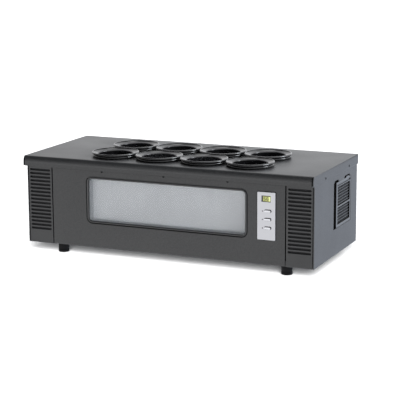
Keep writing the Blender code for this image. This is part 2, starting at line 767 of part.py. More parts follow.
def make_filter(mats):
    y0, z0, y1, z1 = FILTER
    outline = [(y0, z0), (y1, z0), (y1, z1), *bump(*FILTER_TAB, z1, FILTER_TAB_R), (y0, z1)]
    inner_y0 = y0 + FILTER_STILE_FRONT
    inner_y1 = y1 - FILTER_STILE_BACK
    lower = rectangle(inner_y0, z0 + FILTER_RAIL_BOTTOM, inner_y1, FILTER_BAR_Z - FILTER_BAR / 2)
    upper = rectangle(inner_y0, FILTER_BAR_Z + FILTER_BAR / 2, inner_y1, z1 - FILTER_RAIL_TOP)
    face = RIGHT - 0.0005
    frame = prism("filter_frame", "X", face - FILTER_DEPTH, face, [outline, lower, upper], mats["filter_frame"])
    set_origin(frame, (RIGHT, (y0 + y1) / 2, (z0 + z1) / 2))

    back = face - FILTER_DEPTH - GAP
    depth = 0.010
    thick = 0.0012
    low_z = z0 + FILTER_RAIL_BOTTOM - 0.002
    height = z1 - FILTER_RAIL_TOP + 0.002 - low_z
    folds = []
    for index in range(2 * PLEATS + 1):
        x = back - thick if index % 2 else back - depth
        folds.append((x, low_z + height * index / (2 * PLEATS)))
    outline = [(x + thick, z) for x, z in folds] + [(x, z) for x, z in reversed(folds)]
    media = prism("filter_mesh", "Y", inner_y0 - 0.002, inner_y1 + 0.002, [outline], mats["filter_mesh"])
    set_origin(media, (RIGHT, (y0 + y1) / 2, (z0 + z1) / 2))


# ---------------------------------------------------------------- feet, screws, power


def make_feet(mats):
    profile = [
        (FOOT_R - 0.0010, 0.0),
        (FOOT_R, 0.0015),
        (FOOT_R, FOOT_H - 0.002),
        (FOOT_R - 0.0008, FOOT_H - GAP),
    ]
    foot = turned("foot", "Z", profile, mats["foot_rubber"], steps=24)
    for depth_word, y in (("front", FRONT + FOOT_INSET_Y), ("rear", BACK - FOOT_INSET_Y)):
        for side_word, x in (("left", LEFT + FOOT_INSET_X), ("right", RIGHT - FOOT_INSET_X)):
            copy_of(foot, f"foot_{depth_word}_{side_word}", (x, y, 0))
    bpy.data.objects.remove(foot)


def screw_profile(head_r, head_h, shank_r, shank_length):
    """(radius, level out of the surface), from the crown of the head to the tip."""
    return [
        (head_r * 0.55, head_h),
        (head_r, head_h * 0.45),
        (head_r, GAP),
        (shank_r, GAP),
        (shank_r, -shank_length),
    ]


def make_screws(mats):
    front_profile = [(r, -level) for r, level in screw_profile(0.0026, 0.0011, 0.0015, 0.0025)]
    screw = turned("front_screw", "Y", front_profile, mats["screw"], steps=SCREW_STEPS)
    for index, x in enumerate(front_screw_positions()):
        copy_of(screw, f"front_screw_{index + 1}", (x, FRONT, FRONT_SCREW_Z))
    bpy.data.objects.remove(screw)
    side_profile = screw_profile(0.0028, 0.0008, 0.0015, 0.006)
    screw = turned("side_screw", "X", side_profile, mats["screw"], steps=SCREW_STEPS)
    for side, word in ((-1, "left"), (1, "right")):
        for index, y in enumerate(SIDE_SCREWS_Y):
            turn = 0.0 if side > 0 else math.pi
            copy_of(screw, f"{word}_screw_{index + 1}", (side * LID_X, y, SIDE_SCREW_Z), turn)
    bpy.data.objects.remove(screw)


def make_power(mats):
    low = (LEFT + 0.014, FRONT + 0.020, BOTTOM + 0.003)
    high = (LEFT + 0.104, FRONT + 0.140, BOTTOM + 0.045)
    block("power_supply", low, high, mats["anodised"])

    flange = rounded(INLET_X - 0.018, INLET_Z - 0.0135, INLET_X + 0.018, INLET_Z + 0.0135, 0.003, 2)
    housing = rectangle(INLET_X - 0.0139, INLET_Z - 0.0099, INLET_X + 0.0139, INLET_Z + 0.0099)
    inlet = prism("mains_inlet", "Y", REAR_PANEL_Y + GAP, REAR_PANEL_Y + 0.0025, [flange], mats["fan_plastic"])
    add(inlet, prism("inlet_housing", "Y", REAR_PANEL_Y - 0.024, REAR_PANEL_Y + 0.001, [housing]))
    cavity = rounded(INLET_X - 0.0122, INLET_Z - 0.0083, INLET_X + 0.0122, INLET_Z + 0.0083, 0.002, 2)
    pins = []
    for x, z in ((-0.007, -0.0005), (0.007, -0.0005), (0.0, 0.0040)):
        pins.append(rectangle(INLET_X + x - 0.001, INLET_Z + z - 0.002, INLET_X + x + 0.001, INLET_Z + z + 0.002))
    cut(inlet, prism("inlet_cavity", "Y", REAR_PANEL_Y - 0.020, REAR_PANEL_Y + 0.010, [cavity, *pins]))


# ---------------------------------------------------------------- whole object


def group_under_empty():
    root = bpy.data.objects.new("wine_cooler", None)
    bpy.context.scene.collection.objects.link(root)
    for obj in list(bpy.data.objects):
        if obj is not root:
            obj.parent = root


def main():
    clear_scene()
    mats = make_materials()
    make_lid(mats)
    make_collars(mats)
    make_front_panel(mats)
    make_grille("left_grille", -1, mats)
    make_grille("right_grille", 1, mats)
    make_side_panels(mats)
    make_rear_panel(mats)
    make_base_pan(mats)
    make_window(mats)
    make_cell(mats)
    make_modules(mats)
    make_cell_fan(mats)
    make_controls(mats)
    make_filter(mats)
    make_feet(mats)
    make_screws(mats)
    make_power(mats)
    group_under_empty()


main()
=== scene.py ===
"""Looks of the worktop wine cooler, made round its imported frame.

Metres, in the frame's own axes: +Z up, -Y the front, and +X to the right of someone who faces it.
"""

import math

import bmesh
import bpy
from mathutils import Euler, Matrix, Vector


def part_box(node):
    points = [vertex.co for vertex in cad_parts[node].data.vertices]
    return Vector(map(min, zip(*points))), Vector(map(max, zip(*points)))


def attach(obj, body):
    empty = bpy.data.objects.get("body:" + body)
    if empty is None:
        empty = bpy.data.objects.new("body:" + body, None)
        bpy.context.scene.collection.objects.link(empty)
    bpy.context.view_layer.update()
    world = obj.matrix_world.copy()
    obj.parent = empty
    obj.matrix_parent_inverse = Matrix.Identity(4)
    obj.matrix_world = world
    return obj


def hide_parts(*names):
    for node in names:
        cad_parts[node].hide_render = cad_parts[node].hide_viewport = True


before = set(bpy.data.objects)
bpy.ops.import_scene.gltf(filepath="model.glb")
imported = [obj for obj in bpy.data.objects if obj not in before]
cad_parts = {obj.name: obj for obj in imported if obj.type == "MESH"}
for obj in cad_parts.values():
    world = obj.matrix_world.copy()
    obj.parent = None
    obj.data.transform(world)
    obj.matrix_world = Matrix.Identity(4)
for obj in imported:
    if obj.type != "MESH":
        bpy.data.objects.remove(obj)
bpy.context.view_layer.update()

# ---- places, from the frame

SHEET = 0.0015  # powder-coated sheet of the casing and the lid
GAP = 0.0003  # between pieces that touch

LID_LOW, LID_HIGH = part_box("lid")
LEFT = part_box("left_side_panel")[0].x
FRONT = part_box("front_panel")[0].y
BACK = LID_HIGH.y
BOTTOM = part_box("right_side_panel")[0].z
TOP = LID_HIGH.z
SKIRT = LID_LOW.z  # lower edge of the lid's flanges
LIP = FRONT - LID_LOW.y  # how far the lid's front edge stands out, and its cutters reach past it
NOSE_R = 0.008  # how far its rolled upper corner reaches back
NOSE_DROP = 0.014  # and down
LID_SLOT = 0.0026  # open corner between the front edge and a side flange

ROUND_STEPS = 72
HOLE_STEPS = 24
WINDOW_STEPS = 14  # in each corner of the window's outlines
FOLD_R = 0.0012  # outer radius of a folded sheet
SCREW_HOLE_R = 0.0018


def middle(node):
    low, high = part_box(node)
    return (low + high) / 2


def face_box(node):
    """(x0, z0, x1, z1) of a node, as seen from the front."""
    low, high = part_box(node)
    return (low.x, low.z, high.x, high.z)


def side_box(node):
    """(y0, z0, y1, z1) of a node, as seen from the right."""
    low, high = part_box(node)
    return (low.y, low.z, high.y, high.z)


COLLARS = [f"collar_{row}_{column}" for row in ("front", "rear") for column in (1, 2, 3, 4)]
WELL_R = 0.039
COLLAR_SPIGOT_R = 0.044

WINDOW = face_box("window_gasket")
WINDOW_R = 0.015
WINDOW_LAP = 0.003  # of the gasket over the panel's opening
GASKET_W = 0.0065

FASCIA = face_box("control_fascia")
FASCIA_LAP = 0.005  # of the strip over the panel's opening
DISPLAY = face_box("display_lens")

TAB_R = 0.0035  # round corners of the pull tab on the filter's top edge
TAB_ENDS = (0.0297, 0.0147)  # their middles, in front of the filter's rear edge
FILTER_Y0, FILTER_Z0, FILTER_Y1, FILTER_TAB_Z = side_box("filter_frame")
FILTER_Z1 = FILTER_TAB_Z - TAB_R

# ---- outlines, as lists of (u, v)


def arc(u, v, radius, start, end, steps):
    """Points from start to end degrees, both included."""
    points = []
    for index in range(steps + 1):
        angle = math.radians(start + (end - start) * index / steps)
        points.append((u + radius * math.cos(angle), v + radius * math.sin(angle)))
    return points


def circle(u, v, radius, steps=ROUND_STEPS):
    return arc(u, v, radius, 0, 360, steps)[:-1]


def screw_hole(u, v):
    return circle(u, v, SCREW_HOLE_R, HOLE_STEPS)


def side_screw_holes():
    """Holes for the screws in the lid's side flanges, as seen from the right."""
    centres = [middle(f"right_screw_{index}") for index in (1, 2)]
    return [screw_hole(centre.y, centre.z) for centre in centres]


def rectangle(u0, v0, u1, v1):
    return [(u0, v0), (u1, v0), (u1, v1), (u0, v1)]


def block(u, v, width, height):
    """A rectangle about its middle."""
    return rectangle(u - width / 2, v - height / 2, u + width / 2, v + height / 2)


def rounded(u0, v0, u1, v1, radius, steps=8):
    points = arc(u1 - radius, v0 + radius, radius, -90, 0, steps)
    points += arc(u1 - radius, v1 - radius, radius, 0, 90, steps)
    points += arc(u0 + radius, v1 - radius, radius, 90, 180, steps)
    points += arc(u0 + radius, v0 + radius, radius, 180, 270, steps)
    return points


def pill(u, v, width, height):
    radius = height / 2
    reach = width / 2 - radius
    return arc(u + reach, v, radius, -90, 90, 10) + arc(u - reach, v, radius, 90, 270, 10)


def bump(low_u, high_u, v, radius):
    """Upper half of a pill whose round ends have these middles, from its high end."""
    return arc(high_u, v, radius, 0, 90, 8) + arc(low_u, v, radius, 90, 180, 8)


def grown(box, amount):
    u0, v0, u1, v1 = box
    return (u0 - amount, v0 - amount, u1 + amount, v1 + amount)


def inset(points, amount):
    """The outline moved this far towards its inside, square to its edges."""
    count = len(points)
    area = sum(
        points[i - 1][0] * points[i][1] - points[i][0] * points[i - 1][1] for i in range(count)
    )
    turn = math.copysign(1.0, area)
    moved = []
    for index, point in enumerate(points):
        here = Vector(point)
        before = (here - Vector(points[index - 1])).normalized()
        after = (Vector(points[(index + 1) % count]) - here).normalized()
        normal = Vector((-before.y - after.y, before.x + after.x)) * turn
        moved.append(tuple(here + normal * amount / (1 + before.dot(after))))
    return moved


def placed(points, axis, level):
    """The outline's points in space, on the plane where the axis has this level."""
    if axis == "X":
        return [Vector((level, u, v)) for u, v in points]
    if axis == "Y":
        return [Vector((u, level, v)) for u, v in points]
    return [Vector((u, v, level)) for u, v in points]


# ---- solids


def shade(mesh, smooth_angle):
    mesh.shade_smooth()
    mesh.set_sharp_from_angle(angle=math.radians(smooth_angle))


def new_object(name, bm, mat, smooth_angle=40):
    bmesh.ops.recalc_face_normals(bm, faces=bm.faces)
    mesh = bpy.data.meshes.new(name)
    bm.to_mesh(mesh)
    bm.free()
    shade(mesh, smooth_angle)
    if mat is not None:
        mesh.materials.append(mat)
    obj = bpy.data.objects.new(name, mesh)
    bpy.context.scene.collection.objects.link(obj)
    return obj


def bridge(bm, first, second):
    count = len(first)
    for index in range(count):
        after = (index + 1) % count
        bm.faces.new((first[index], first[after], second[after], second[index]))


def add_plate(bm, axis, low, high, outlines, soft, steps=3):
    """A flat body between two levels of an axis, with rounded edges.

    The first outline is its edge, and the rest are holes.
    """
    turns = [math.radians(90 * step / steps) for step in range(steps + 1)]
    bend = [(soft * (1 - math.sin(turn)), soft * (1 - math.cos(turn))) for turn in turns]
    profile = [(2 * soft, low)] + [(depth, low + rise) for depth, rise in bend]
    profile += [(depth, high - rise) for depth, rise in reversed(bend)] + [(2 * soft, high)]
    pairs = {}
    edges = []
    for index, outline in enumerate(outlines):
        side = -1 if index else 1
        loops = []
        for depth, level in profile:
            points = placed(inset(outline, side * depth), axis, level)
            loops.append([bm.verts.new(point) for point in points])
        for first, second in zip(loops, loops[1:]):
            bridge(bm, first, second)
        pairs.update(zip(loops[0], loops[-1]))
        ring = loops[0]
        edges += [bm.edges.get(pair) for pair in zip(ring, ring[1:] + ring[:1])]
    normal = placed([(0, 0)], axis, 1.0)[0]
    filled = bmesh.ops.triangle_fill(bm, edges=edges, use_beauty=True, normal=normal)
    for face in [item for item in filled["geom"] if isinstance(item, bmesh.types.BMFace)]:
        bm.faces.new([pairs[vert] for vert in face.verts])


def plate(name, axis, low, high, outlines, mat, soft=0.0003, steps=3):
    bm = bmesh.new()
    add_plate(bm, axis, low, high, outlines, soft, steps)
    return new_object(name, bm, mat)


def loft(name, rings, mat, closed=False, smooth_angle=40):
    """A body through rings of equal length. A closed loft joins the last ring to the first one."""
    bm = bmesh.new()
    loops = [[bm.verts.new(point) for point in ring] for ring in rings]
    spans = list(zip(loops, loops[1:]))
    if closed:
        spans.append((loops[-1], loops[0]))
    else:
        bm.faces.new(loops[0])
        bm.faces.new(loops[-1])
    for first, second in spans:
        bridge(bm, first, second)
    return new_object(name, bm, mat, smooth_angle)


def turned(name, axis, profile, mat, steps=ROUND_STEPS, closed=False, smooth_angle=40):
    """A round body about an axis through the origin, from (radius, level) points."""
    rings = [placed(circle(0, 0, radius, steps), axis, level) for radius, level in profile]
    return loft(name, rings, mat, closed, smooth_angle)


def tool(axis, low, high, outline):
    """A cutter between two levels of an axis."""
    return loft("tool", [placed(outline, axis, low), placed(outline, axis, high)], None)


def carve(obj, tools, smooth_angle=40):
    """Cuts the tools out of the object, and removes them."""
    for cutter in tools:
        modifier = obj.modifiers.new("cut", "BOOLEAN")
        modifier.operation = "DIFFERENCE"
        modifier.solver = "EXACT"
        modifier.object = cutter
    graph = bpy.context.evaluated_depsgraph_get()
    obj.data = bpy.data.meshes.new_from_object(obj.evaluated_get(graph))
    obj.modifiers.clear()
    shade(obj.data, smooth_angle)
    for cutter in tools:
        bpy.data.objects.remove(cutter)


def soften(obj, width):
    """Rounds the sharp edges of a piece."""
    modifier = obj.modifiers.new("soften", "BEVEL")
    modifier.width = width
    modifier.segments = 2
    modifier.limit_method = "ANGLE"
    modifier.angle_limit = math.radians(40)


def stand_in(piece, slot, *nodes, body="casing"):
    """The piece takes the place of these CAD nodes, and moves with their body."""
    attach(piece, body)
    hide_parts(*nodes)
    return piece


def copy_of(obj, name, location, turn_z=0.0):
    """A copy with the same mesh."""
    copy = obj.copy()
    copy.name = name
    bpy.context.scene.collection.objects.link(copy)
    copy.location = location
    copy.rotation_euler = (0, 0, turn_z)
    return copy


# ---- materials


def add_node(tree, kind, **settings):
    made = tree.nodes.new(kind)
    for key, value in settings.items():
        setattr(made, key, value)
    return made


def coordinates(tree, stretch=(1, 1, 1)):
    """Object coordinates in metres, stretched along its axes."""
    source = add_node(tree, "ShaderNodeTexCoord")
    mapping = add_node(tree, "ShaderNodeMapping")
    mapping.inputs["Scale"].default_value = stretch
    tree.links.new(source.outputs["Object"], mapping.inputs["Vector"])
    return mapping.outputs["Vector"]


def noise(tree, place, scale, detail=2.0, harshness=0.5):
    made = add_node(tree, "ShaderNodeTexNoise")
    made.inputs["Scale"].default_value = scale
    made.inputs["Detail"].default_value = detail
    made.inputs["Roughness"].default_value = harshness
    tree.links.new(place, made.inputs["Vector"])
    return made.outputs["Fac"]


def cells(tree, place, scale):
    made = add_node(tree, "ShaderNodeTexVoronoi")
    made.inputs["Scale"].default_value = scale
    tree.links.new(place, made.inputs["Vector"])
    return made.outputs["Distance"]


def spread(tree, value, low, high, from_low=0.3, from_high=0.7):
    """A value carried from one range to another. Noise lies mostly between 0.3 and 0.7."""
    made = add_node(tree, "ShaderNodeMapRange")
    made.inputs["From Min"].default_value = from_low
    made.inputs["From Max"].default_value = from_high
    made.inputs["To Min"].default_value = low
    made.inputs["To Max"].default_value = high
    tree.links.new(value, made.inputs["Value"])
    return made.outputs["Result"]


def mixed(tree, share, first, second):
    """A colour between two, each a colour or another node's output."""
    made = add_node(tree, "ShaderNodeMix", data_type="RGBA")
    tree.links.new(share, made.inputs[0])
    for socket, colour in ((made.inputs[6], first), (made.inputs[7], second)):
        if isinstance(colour, tuple):
            socket.default_value = (*colour, 1.0)
        else:
            tree.links.new(colour, socket)
    return made.outputs[2]


def relief(tree, heights):
    """A chain of bumps from (height output, depth in metres) pairs."""
    normal = None
    for height, depth in heights:
        made = add_node(tree, "ShaderNodeBump")
        made.inputs["Distance"].default_value = depth
        tree.links.new(height, made.inputs["Height"])
        if normal is not None:
            tree.links.new(normal, made.inputs["Normal"])
        normal = made.outputs["Normal"]
    return normal


def scaled(colour, factor):
    return tuple(min(channel * factor, 1.0) for channel in colour)


def start_material(name, **constants):
    mat = bpy.data.materials.new(name)
    mat.use_nodes = True
    shader = mat.node_tree.nodes["Principled BSDF"]
    for key, value in constants.items():
        shader.inputs[key.replace("_", " ")].default_value = value
    return mat, mat.node_tree, shader


def wire(tree, shader, **outputs):
    """Joins each output to the shader's socket of that name."""
    for key, output in outputs.items():
        tree.links.new(output, shader.inputs[key.replace("_", " ")])


def finish_like(name, colour, roughness, patch=18.0, patch_share=0.05, grain=1500.0,
                grain_share=0.06, depth=0.00002, give=0.05, stretch=(1, 1, 1), **constants):
    """A moulded or metal finish, with broad patches in its colour and gloss, and a fine grain.

    Patch and grain are counts per metre, and their shares say how much lighter or darker they go.
    The grain is depth metres high, and the roughness moves up and down by give.
    """
    mat, tree, shader = start_material(name, **constants)
    place = coordinates(tree, stretch)
    broad = noise(tree, place, patch)
    fine = noise(tree, place, grain, 3.0, 0.6)
    tints = []
    for value, share in ((broad, patch_share), (fine, grain_share)):
        dark, light = scaled(colour, 1 - share), scaled(colour, 1 + share)
        tints.append(mixed(tree, spread(tree, value, 0, 1), dark, light))
    blend = add_node(tree, "ShaderNodeMix", data_type="RGBA")
    blend.inputs[0].default_value = 0.5
    tree.links.new(tints[0], blend.inputs[6])
    tree.links.new(tints[1], blend.inputs[7])
    gloss = spread(tree, broad, roughness - give, roughness + give)
    bumps = relief(tree, [(fine, depth)])
    wire(tree, shader, Base_Color=blend.outputs[2], Roughness=gloss, Normal=bumps)
    return mat


def coated_sheet():
    """Charcoal powder coat: a satin film with mottled grain and an orange-peel surface."""
    mat, tree, shader = start_material("coated_sheet")
    place = coordinates(tree)
    peel = noise(tree, place, 430.0, 3.0, 0.6)
    pinch = cells(tree, place, 1900.0)
    broad = noise(tree, place, 9.0)
    dark = (0.0138, 0.0143, 0.0151)
    light = (0.0320, 0.0325, 0.0333)
    colour = mixed(tree, spread(tree, peel, 0, 1), dark, light)
    gloss = spread(tree, broad, 0.40, 0.46)
    bumps = relief(tree, [(peel, 0.00006), (pinch, 0.00002)])
    wire(tree, shader, Base_Color=colour, Roughness=gloss, Normal=bumps)
    return mat


def along_axis(tree, axis, low, high):
    """0 to 1 between two levels of an object axis."""
    place = add_node(tree, "ShaderNodeTexCoord")
    parts = add_node(tree, "ShaderNodeSeparateXYZ")
    tree.links.new(place.outputs["Object"], parts.inputs[0])
    return spread(tree, parts.outputs[axis], 0, 1, low, high)


def pane_glass(name, low_haze, high_haze):
    """Clear sheet glass with an uneven mist in it, that can be denser towards the top."""
    mat, tree, shader = start_material(name, Roughness=0.06, IOR=1.5)
    place = coordinates(tree, (1, 1, 0.35))
    mist = noise(tree, place, 14.0, 3.0)
    fine = noise(tree, place, 260.0)
    dark = (0.80, 0.815, 0.83)
    light = (0.84, 0.855, 0.87)
    colour = mixed(tree, spread(tree, fine, 0, 1), dark, light)
    haze = spread(tree, along_axis(tree, "Z", WINDOW[1], WINDOW[3]), low_haze, high_haze, 0, 1)
    blend = add_node(tree, "ShaderNodeMath", operation="MULTIPLY")
    tree.links.new(haze, blend.inputs[0])
    tree.links.new(spread(tree, mist, 0.92, 1.08), blend.inputs[1])
    wire(tree, shader, Base_Color=colour, Alpha=blend.outputs[0])
    return mat


def foam():
    """Black closed-cell foam."""
    mat, tree, shader = start_material("foam")
    place = coordinates(tree)
    bubbles = cells(tree, place, 700.0)
    broad = noise(tree, place, 30.0)
    colour = mixed(tree, spread(tree, broad, 0, 1), (0.012, 0.012, 0.013), (0.022, 0.022, 0.023))
    gloss = spread(tree, bubbles, 0.8, 0.95, 0, 1)
    bumps = relief(tree, [(bubbles, 0.0004)])
    wire(tree, shader, Base_Color=colour, Roughness=gloss, Normal=bumps)
    return mat


def circuit_board():
    """Green solder mask with a grid of copper tracks under it."""
    mat, tree, shader = start_material("board", Roughness=0.35)
    place = coordinates(tree)
    tracks = add_node(tree, "ShaderNodeTexBrick")
    tracks.inputs["Scale"].default_value = 240.0
    tree.links.new(place, tracks.inputs["Vector"])
    pattern = tracks.outputs["Fac"]
    colour = mixed(tree, pattern, (0.015, 0.10, 0.04), (0.05, 0.20, 0.08))
    wire(tree, shader, Base_Color=colour, Normal=relief(tree, [(pattern, 0.00004)]))
    return mat


def lamp_diffuser():
    mat, tree, shader = start_material("lamp", Emission_Strength=22.0)
    place = coordinates(tree)
    frost = noise(tree, place, 900.0)
    colour = mixed(tree, spread(tree, frost, 0, 1), (0.86, 0.89, 0.92), (0.93, 0.95, 0.97))
    bumps = relief(tree, [(frost, 0.00003)])
    wire(tree, shader, Base_Color=colour, Emission_Color=colour, Normal=bumps)
    return mat


def liquid_crystal():
    """Yellow-green display, a little uneven, and brighter along its right edge."""
    mat, tree, shader = start_material("display", Roughness=0.18, Emission_Strength=0.25)
    place = coordinates(tree, (1, 1, 2))
    broad = noise(tree, place, 120.0)
    fine = noise(tree, place, 4000.0)
    field = mixed(tree, spread(tree, broad, 0, 1), (0.36, 0.38, 0.08), (0.46, 0.48, 0.14))
    edge = along_axis(tree, "X", DISPLAY[2] - 0.0045, DISPLAY[2] - 0.0020)
    colour = mixed(tree, edge, field, (0.75, 0.80, 0.36))
    bumps = relief(tree, [(fine, 0.00001)])
    wire(tree, shader, Base_Color=colour, Emission_Color=colour, Normal=bumps)
    return mat


SMOOTH = {"grain": 2400.0, "depth": 0.000008, "patch_share": 0.02}  # fine satin moulding
FINISHES = {  # colour, roughness, and what differs from finish_like's own settings
    "grille_plastic": ((0.023, 0.0235, 0.0242), 0.46, {"grain": 1100.0, "depth": 0.00004}),
    "collar_rubber": ((0.006, 0.006, 0.0065), 0.09, {"depth": 0.000006, "give": 0.03}),
    "gasket_rubber": ((0.022, 0.0225, 0.023), 0.34, {"depth": 0.00001}),
    "foot_rubber": ((0.005, 0.005, 0.0055), 0.8, {"depth": 0.00005, "Specular_IOR_Level": 0.15}),
    "flat_black": ((0.004, 0.004, 0.004), 0.85, {"depth": 0.00003, "Specular_IOR_Level": 0.1}),
    "slot_shade": (
        (0.011, 0.011, 0.012), 0.8, {"grain": 900.0, "grain_share": 0.5, "depth": 0.0002}
    ),
    "filter_frame": ((0.050, 0.052, 0.055), 0.38, {"depth": 0.00003}),
    "filter_mesh": (
        (0.007, 0.007, 0.008),
        0.75,
        {"grain": 900.0, "grain_share": 0.4, "depth": 0.0001, "Specular_IOR_Level": 0.2},
    ),
    "mesh_wire": ((0.030, 0.031, 0.033), 0.38, {"depth": 0.00003}),
    "fascia": ((0.58, 0.58, 0.60), 0.34, SMOOTH),
    "button": ((0.66, 0.66, 0.68), 0.30, SMOOTH),
    "bezel": ((0.035, 0.036, 0.034), 0.25, {"depth": 0.000005}),
    "indicator": ((0.03, 0.006, 0.006), 0.15, {"depth": 0.000004}),
    "screw": ((0.006, 0.006, 0.0065), 0.42, {"depth": 0.00001, "Specular_IOR_Level": 0.12}),
    "spacer": ((0.31, 0.325, 0.34), 0.50, {}),
    "liner": ((0.74, 0.76, 0.77), 0.38, {"depth": 0.00001}),
    "aluminium": (
        (0.62, 0.63, 0.64),
        0.34,
        {"grain": 40.0, "patch": 6.0, "stretch": (1, 60, 60), "Metallic": 1.0},  # brushed along X
    ),
    "anodised": ((0.014, 0.014, 0.015), 0.55, {"depth": 0.00001}),
    "ceramic": ((0.80, 0.79, 0.75), 0.45, {"depth": 0.00001}),
    "fan_plastic": ((0.016, 0.016, 0.018), 0.42, {"depth": 0.00003}),
    "pale_plastic": ((0.70, 0.72, 0.73), 0.42, {"depth": 0.00003}),
}


def make_materials():
    mats = {
        "coated_sheet": coated_sheet(),
        "outer_glass": pane_glass("outer_glass", 0.10, 0.14),
        "inner_glass": pane_glass("inner_glass", 0.50, 0.63),
        "foam": foam(),
        "display": liquid_crystal(),
        "board": circuit_board(),
        "lamp": lamp_diffuser(),
    }
    for name, (colour, roughness, settings) in FINISHES.items():
        mats[name] = finish_like(name, colour, roughness, **settings)
    return mats


# ---- lid and casing


def lid_nose(depth):
    """The rolled front edge, this far inside the sheet's outer face."""
    y, z = LID_LOW.y + NOSE_R, TOP - NOSE_DROP
    turn = arc(0, 0, 1, 180, 90, 16)
    return [(y + u * (NOSE_R - depth), z + v * (NOSE_DROP - depth)) for u, v in turn]


def make_lid(mats):
    """One folded sheet, with flanges on three sides and a rolled front edge.

    An open slot at each corner parts the front edge from the side flange.
    """
    heel = FRONT - 0.0005  # where the front edge's return stops
    outline = [
        (heel, SKIRT),
        (LID_LOW.y, SKIRT),
        *lid_nose(0),
        *arc(BACK - FOLD_R, TOP - FOLD_R, FOLD_R, 90, 0, 5),
        (BACK, SKIRT),
    ]
    lid = plate("fine_lid", "X", LID_LOW.x, LID_HIGH.x, [outline], mats["coated_sheet"], FOLD_R, 5)
    hollow_x = LID_HIGH.x - SHEET
    hollow = rectangle(heel, SKIRT - LIP, BACK - SHEET, TOP - SHEET)
    roll = [
        (heel + LIP, SKIRT + SHEET),
        (LID_LOW.y + SHEET, SKIRT + SHEET),
        *lid_nose(SHEET),
        (heel + LIP, TOP - SHEET),
    ]
    corner = rectangle(LID_LOW.y - LIP, SKIRT - LIP, heel + LIP, TOP - SHEET - GAP)
    tools = [tool("X", -hollow_x, hollow_x, hollow), tool("X", -hollow_x, hollow_x, roll)]
    for side in (-1, 1):
        tools.append(tool("X", *sorted((side * (hollow_x - LID_SLOT), side * hollow_x)), corner))
    for node in COLLARS:
        centre = middle(node)
        well = circle(centre.x, centre.y, COLLAR_SPIGOT_R + GAP)
        tools.append(tool("Z", TOP - LIP, TOP + LIP, well))
    for hole in side_screw_holes():
        tools.append(tool("X", 2 * LID_LOW.x, 2 * LID_HIGH.x, hole))
    carve(lid, tools, 30)
    stand_in(lid, "coated_sheet", "lid")


GROOVE_RISE = 0.0008  # of the front panel's groove, above its screws' middles
GROOVE_HALF = 0.0003
GROOVE_DEPTH = 0.0004


def make_front_panel(mats):
    """The sheet between the grilles, with a fine groove under the lid's front edge."""
    low_x, low_z, high_x, high_z = face_box("front_panel")
    outlines = [
        rectangle(low_x, low_z, high_x, high_z),
        rounded(*grown(WINDOW, -WINDOW_LAP), WINDOW_R - WINDOW_LAP, WINDOW_STEPS),
        rectangle(*grown(FASCIA, -FASCIA_LAP)),
    ]
    for index in (1, 2, 3):
        centre = middle(f"front_screw_{index}")
        outlines.append(screw_hole(centre.x, centre.z))
    mat = mats["coated_sheet"]
    panel = plate("fine_front_panel", "Y", FRONT, FRONT + SHEET, outlines, mat, 0.0004)
    line_z = middle("front_screw_1").z + GROOVE_RISE
    groove = rectangle(
        low_x - SHEET, line_z - GROOVE_HALF, high_x + SHEET, line_z + GROOVE_HALF
    )
    carve(panel, [tool("Y", FRONT - SHEET, FRONT + GROOVE_DEPTH, groove)])
    stand_in(panel, "coated_sheet", "front_panel")


SEAM_TRIM = 0.0005  # widens the open line beside the front panel
CORNER_TRIM = 0.0012  # and the one at the outer corner
SLOT_COUNT = 17
SLOT_PITCH = 0.0086
SLOT_H = 0.0046
SLOT_W = 0.053
SLOT_LOWEST = 0.0336  # middle of the lowest slot, above the casing's underside
SEAM_SHADE_HALF = 0.0042  # half the width of the black strip behind a seam, painted shade for the open gap
SEAM_SHADE_BACK = 0.0011  # its far face, behind the grille
SEAM_SHADE_FOOT = 0.014  # its lower end, above the casing's underside
SEAM_SHADE_LAP = 0.004  # how far it goes up behind the lid's flange
SHADE_SHEET_NEAR = 0.0015  # faces of the dark sheet behind the grille, painted shade for the inside seen through the slots
SHADE_SHEET_FAR = 0.0023
SHADE_SHEET_LAP = 0.005  # past the middles of the lowest and the highest slot


def make_grilles(mats):
    """Moulded end grilles with dark sheets behind them and black strips behind the seams, both
    painted shade for the casing's shaded inside.
    """
    for node, side in (("left_grille", -1), ("right_grille", 1)):
        low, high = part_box(node)
        middle_x = (low.x + high.x) / 2
        near_end, far_end = sorted((low.x, high.x), key=abs)
        x0, x1 = sorted((near_end + side * SEAM_TRIM, far_end - side * CORNER_TRIM))
        outlines = [rectangle(x0, low.z, x1, high.z)]
        for index in range(SLOT_COUNT):
            slot_z = BOTTOM + SLOT_LOWEST + index * SLOT_PITCH
            outlines.append(pill(middle_x, slot_z, SLOT_W, SLOT_H))
        mat = mats["grille_plastic"]
        grille = plate(f"fine_{node}", "Y", low.y, high.y, outlines, mat, 0.0007, 4)
        stand_in(grille, "grille_plastic", node)
        # A black strip behind the seam: painted shade seen through the gap beside the front panel.
        strip = rectangle(
            near_end - SEAM_SHADE_HALF, BOTTOM + SEAM_SHADE_FOOT, near_end + SEAM_SHADE_HALF, SKIRT + SEAM_SHADE_LAP
        )
        near, far = high.y + GAP, high.y + SEAM_SHADE_BACK
        painted_seam = plate(f"seam_shade_strip_{node}", "Y", near, far, [strip], mats["flat_black"], 0.0002)
        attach(painted_seam, "casing")
        # A dark sheet behind the slots: painted shade for the casing's inside.
        highest = SLOT_LOWEST + (SLOT_COUNT - 1) * SLOT_PITCH
        z0, z1 = BOTTOM + SLOT_LOWEST - SHADE_SHEET_LAP, BOTTOM + highest + SHADE_SHEET_LAP
        backing = rectangle(x0, z0, x1, z1)
        near, far = high.y + SHADE_SHEET_NEAR, high.y + SHADE_SHEET_FAR
        mat = mats["slot_shade"]
        screen = plate(f"vent_shade_sheet_{node}", "Y", near, far, [backing], mat, 0.0002)
        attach(screen, "casing")


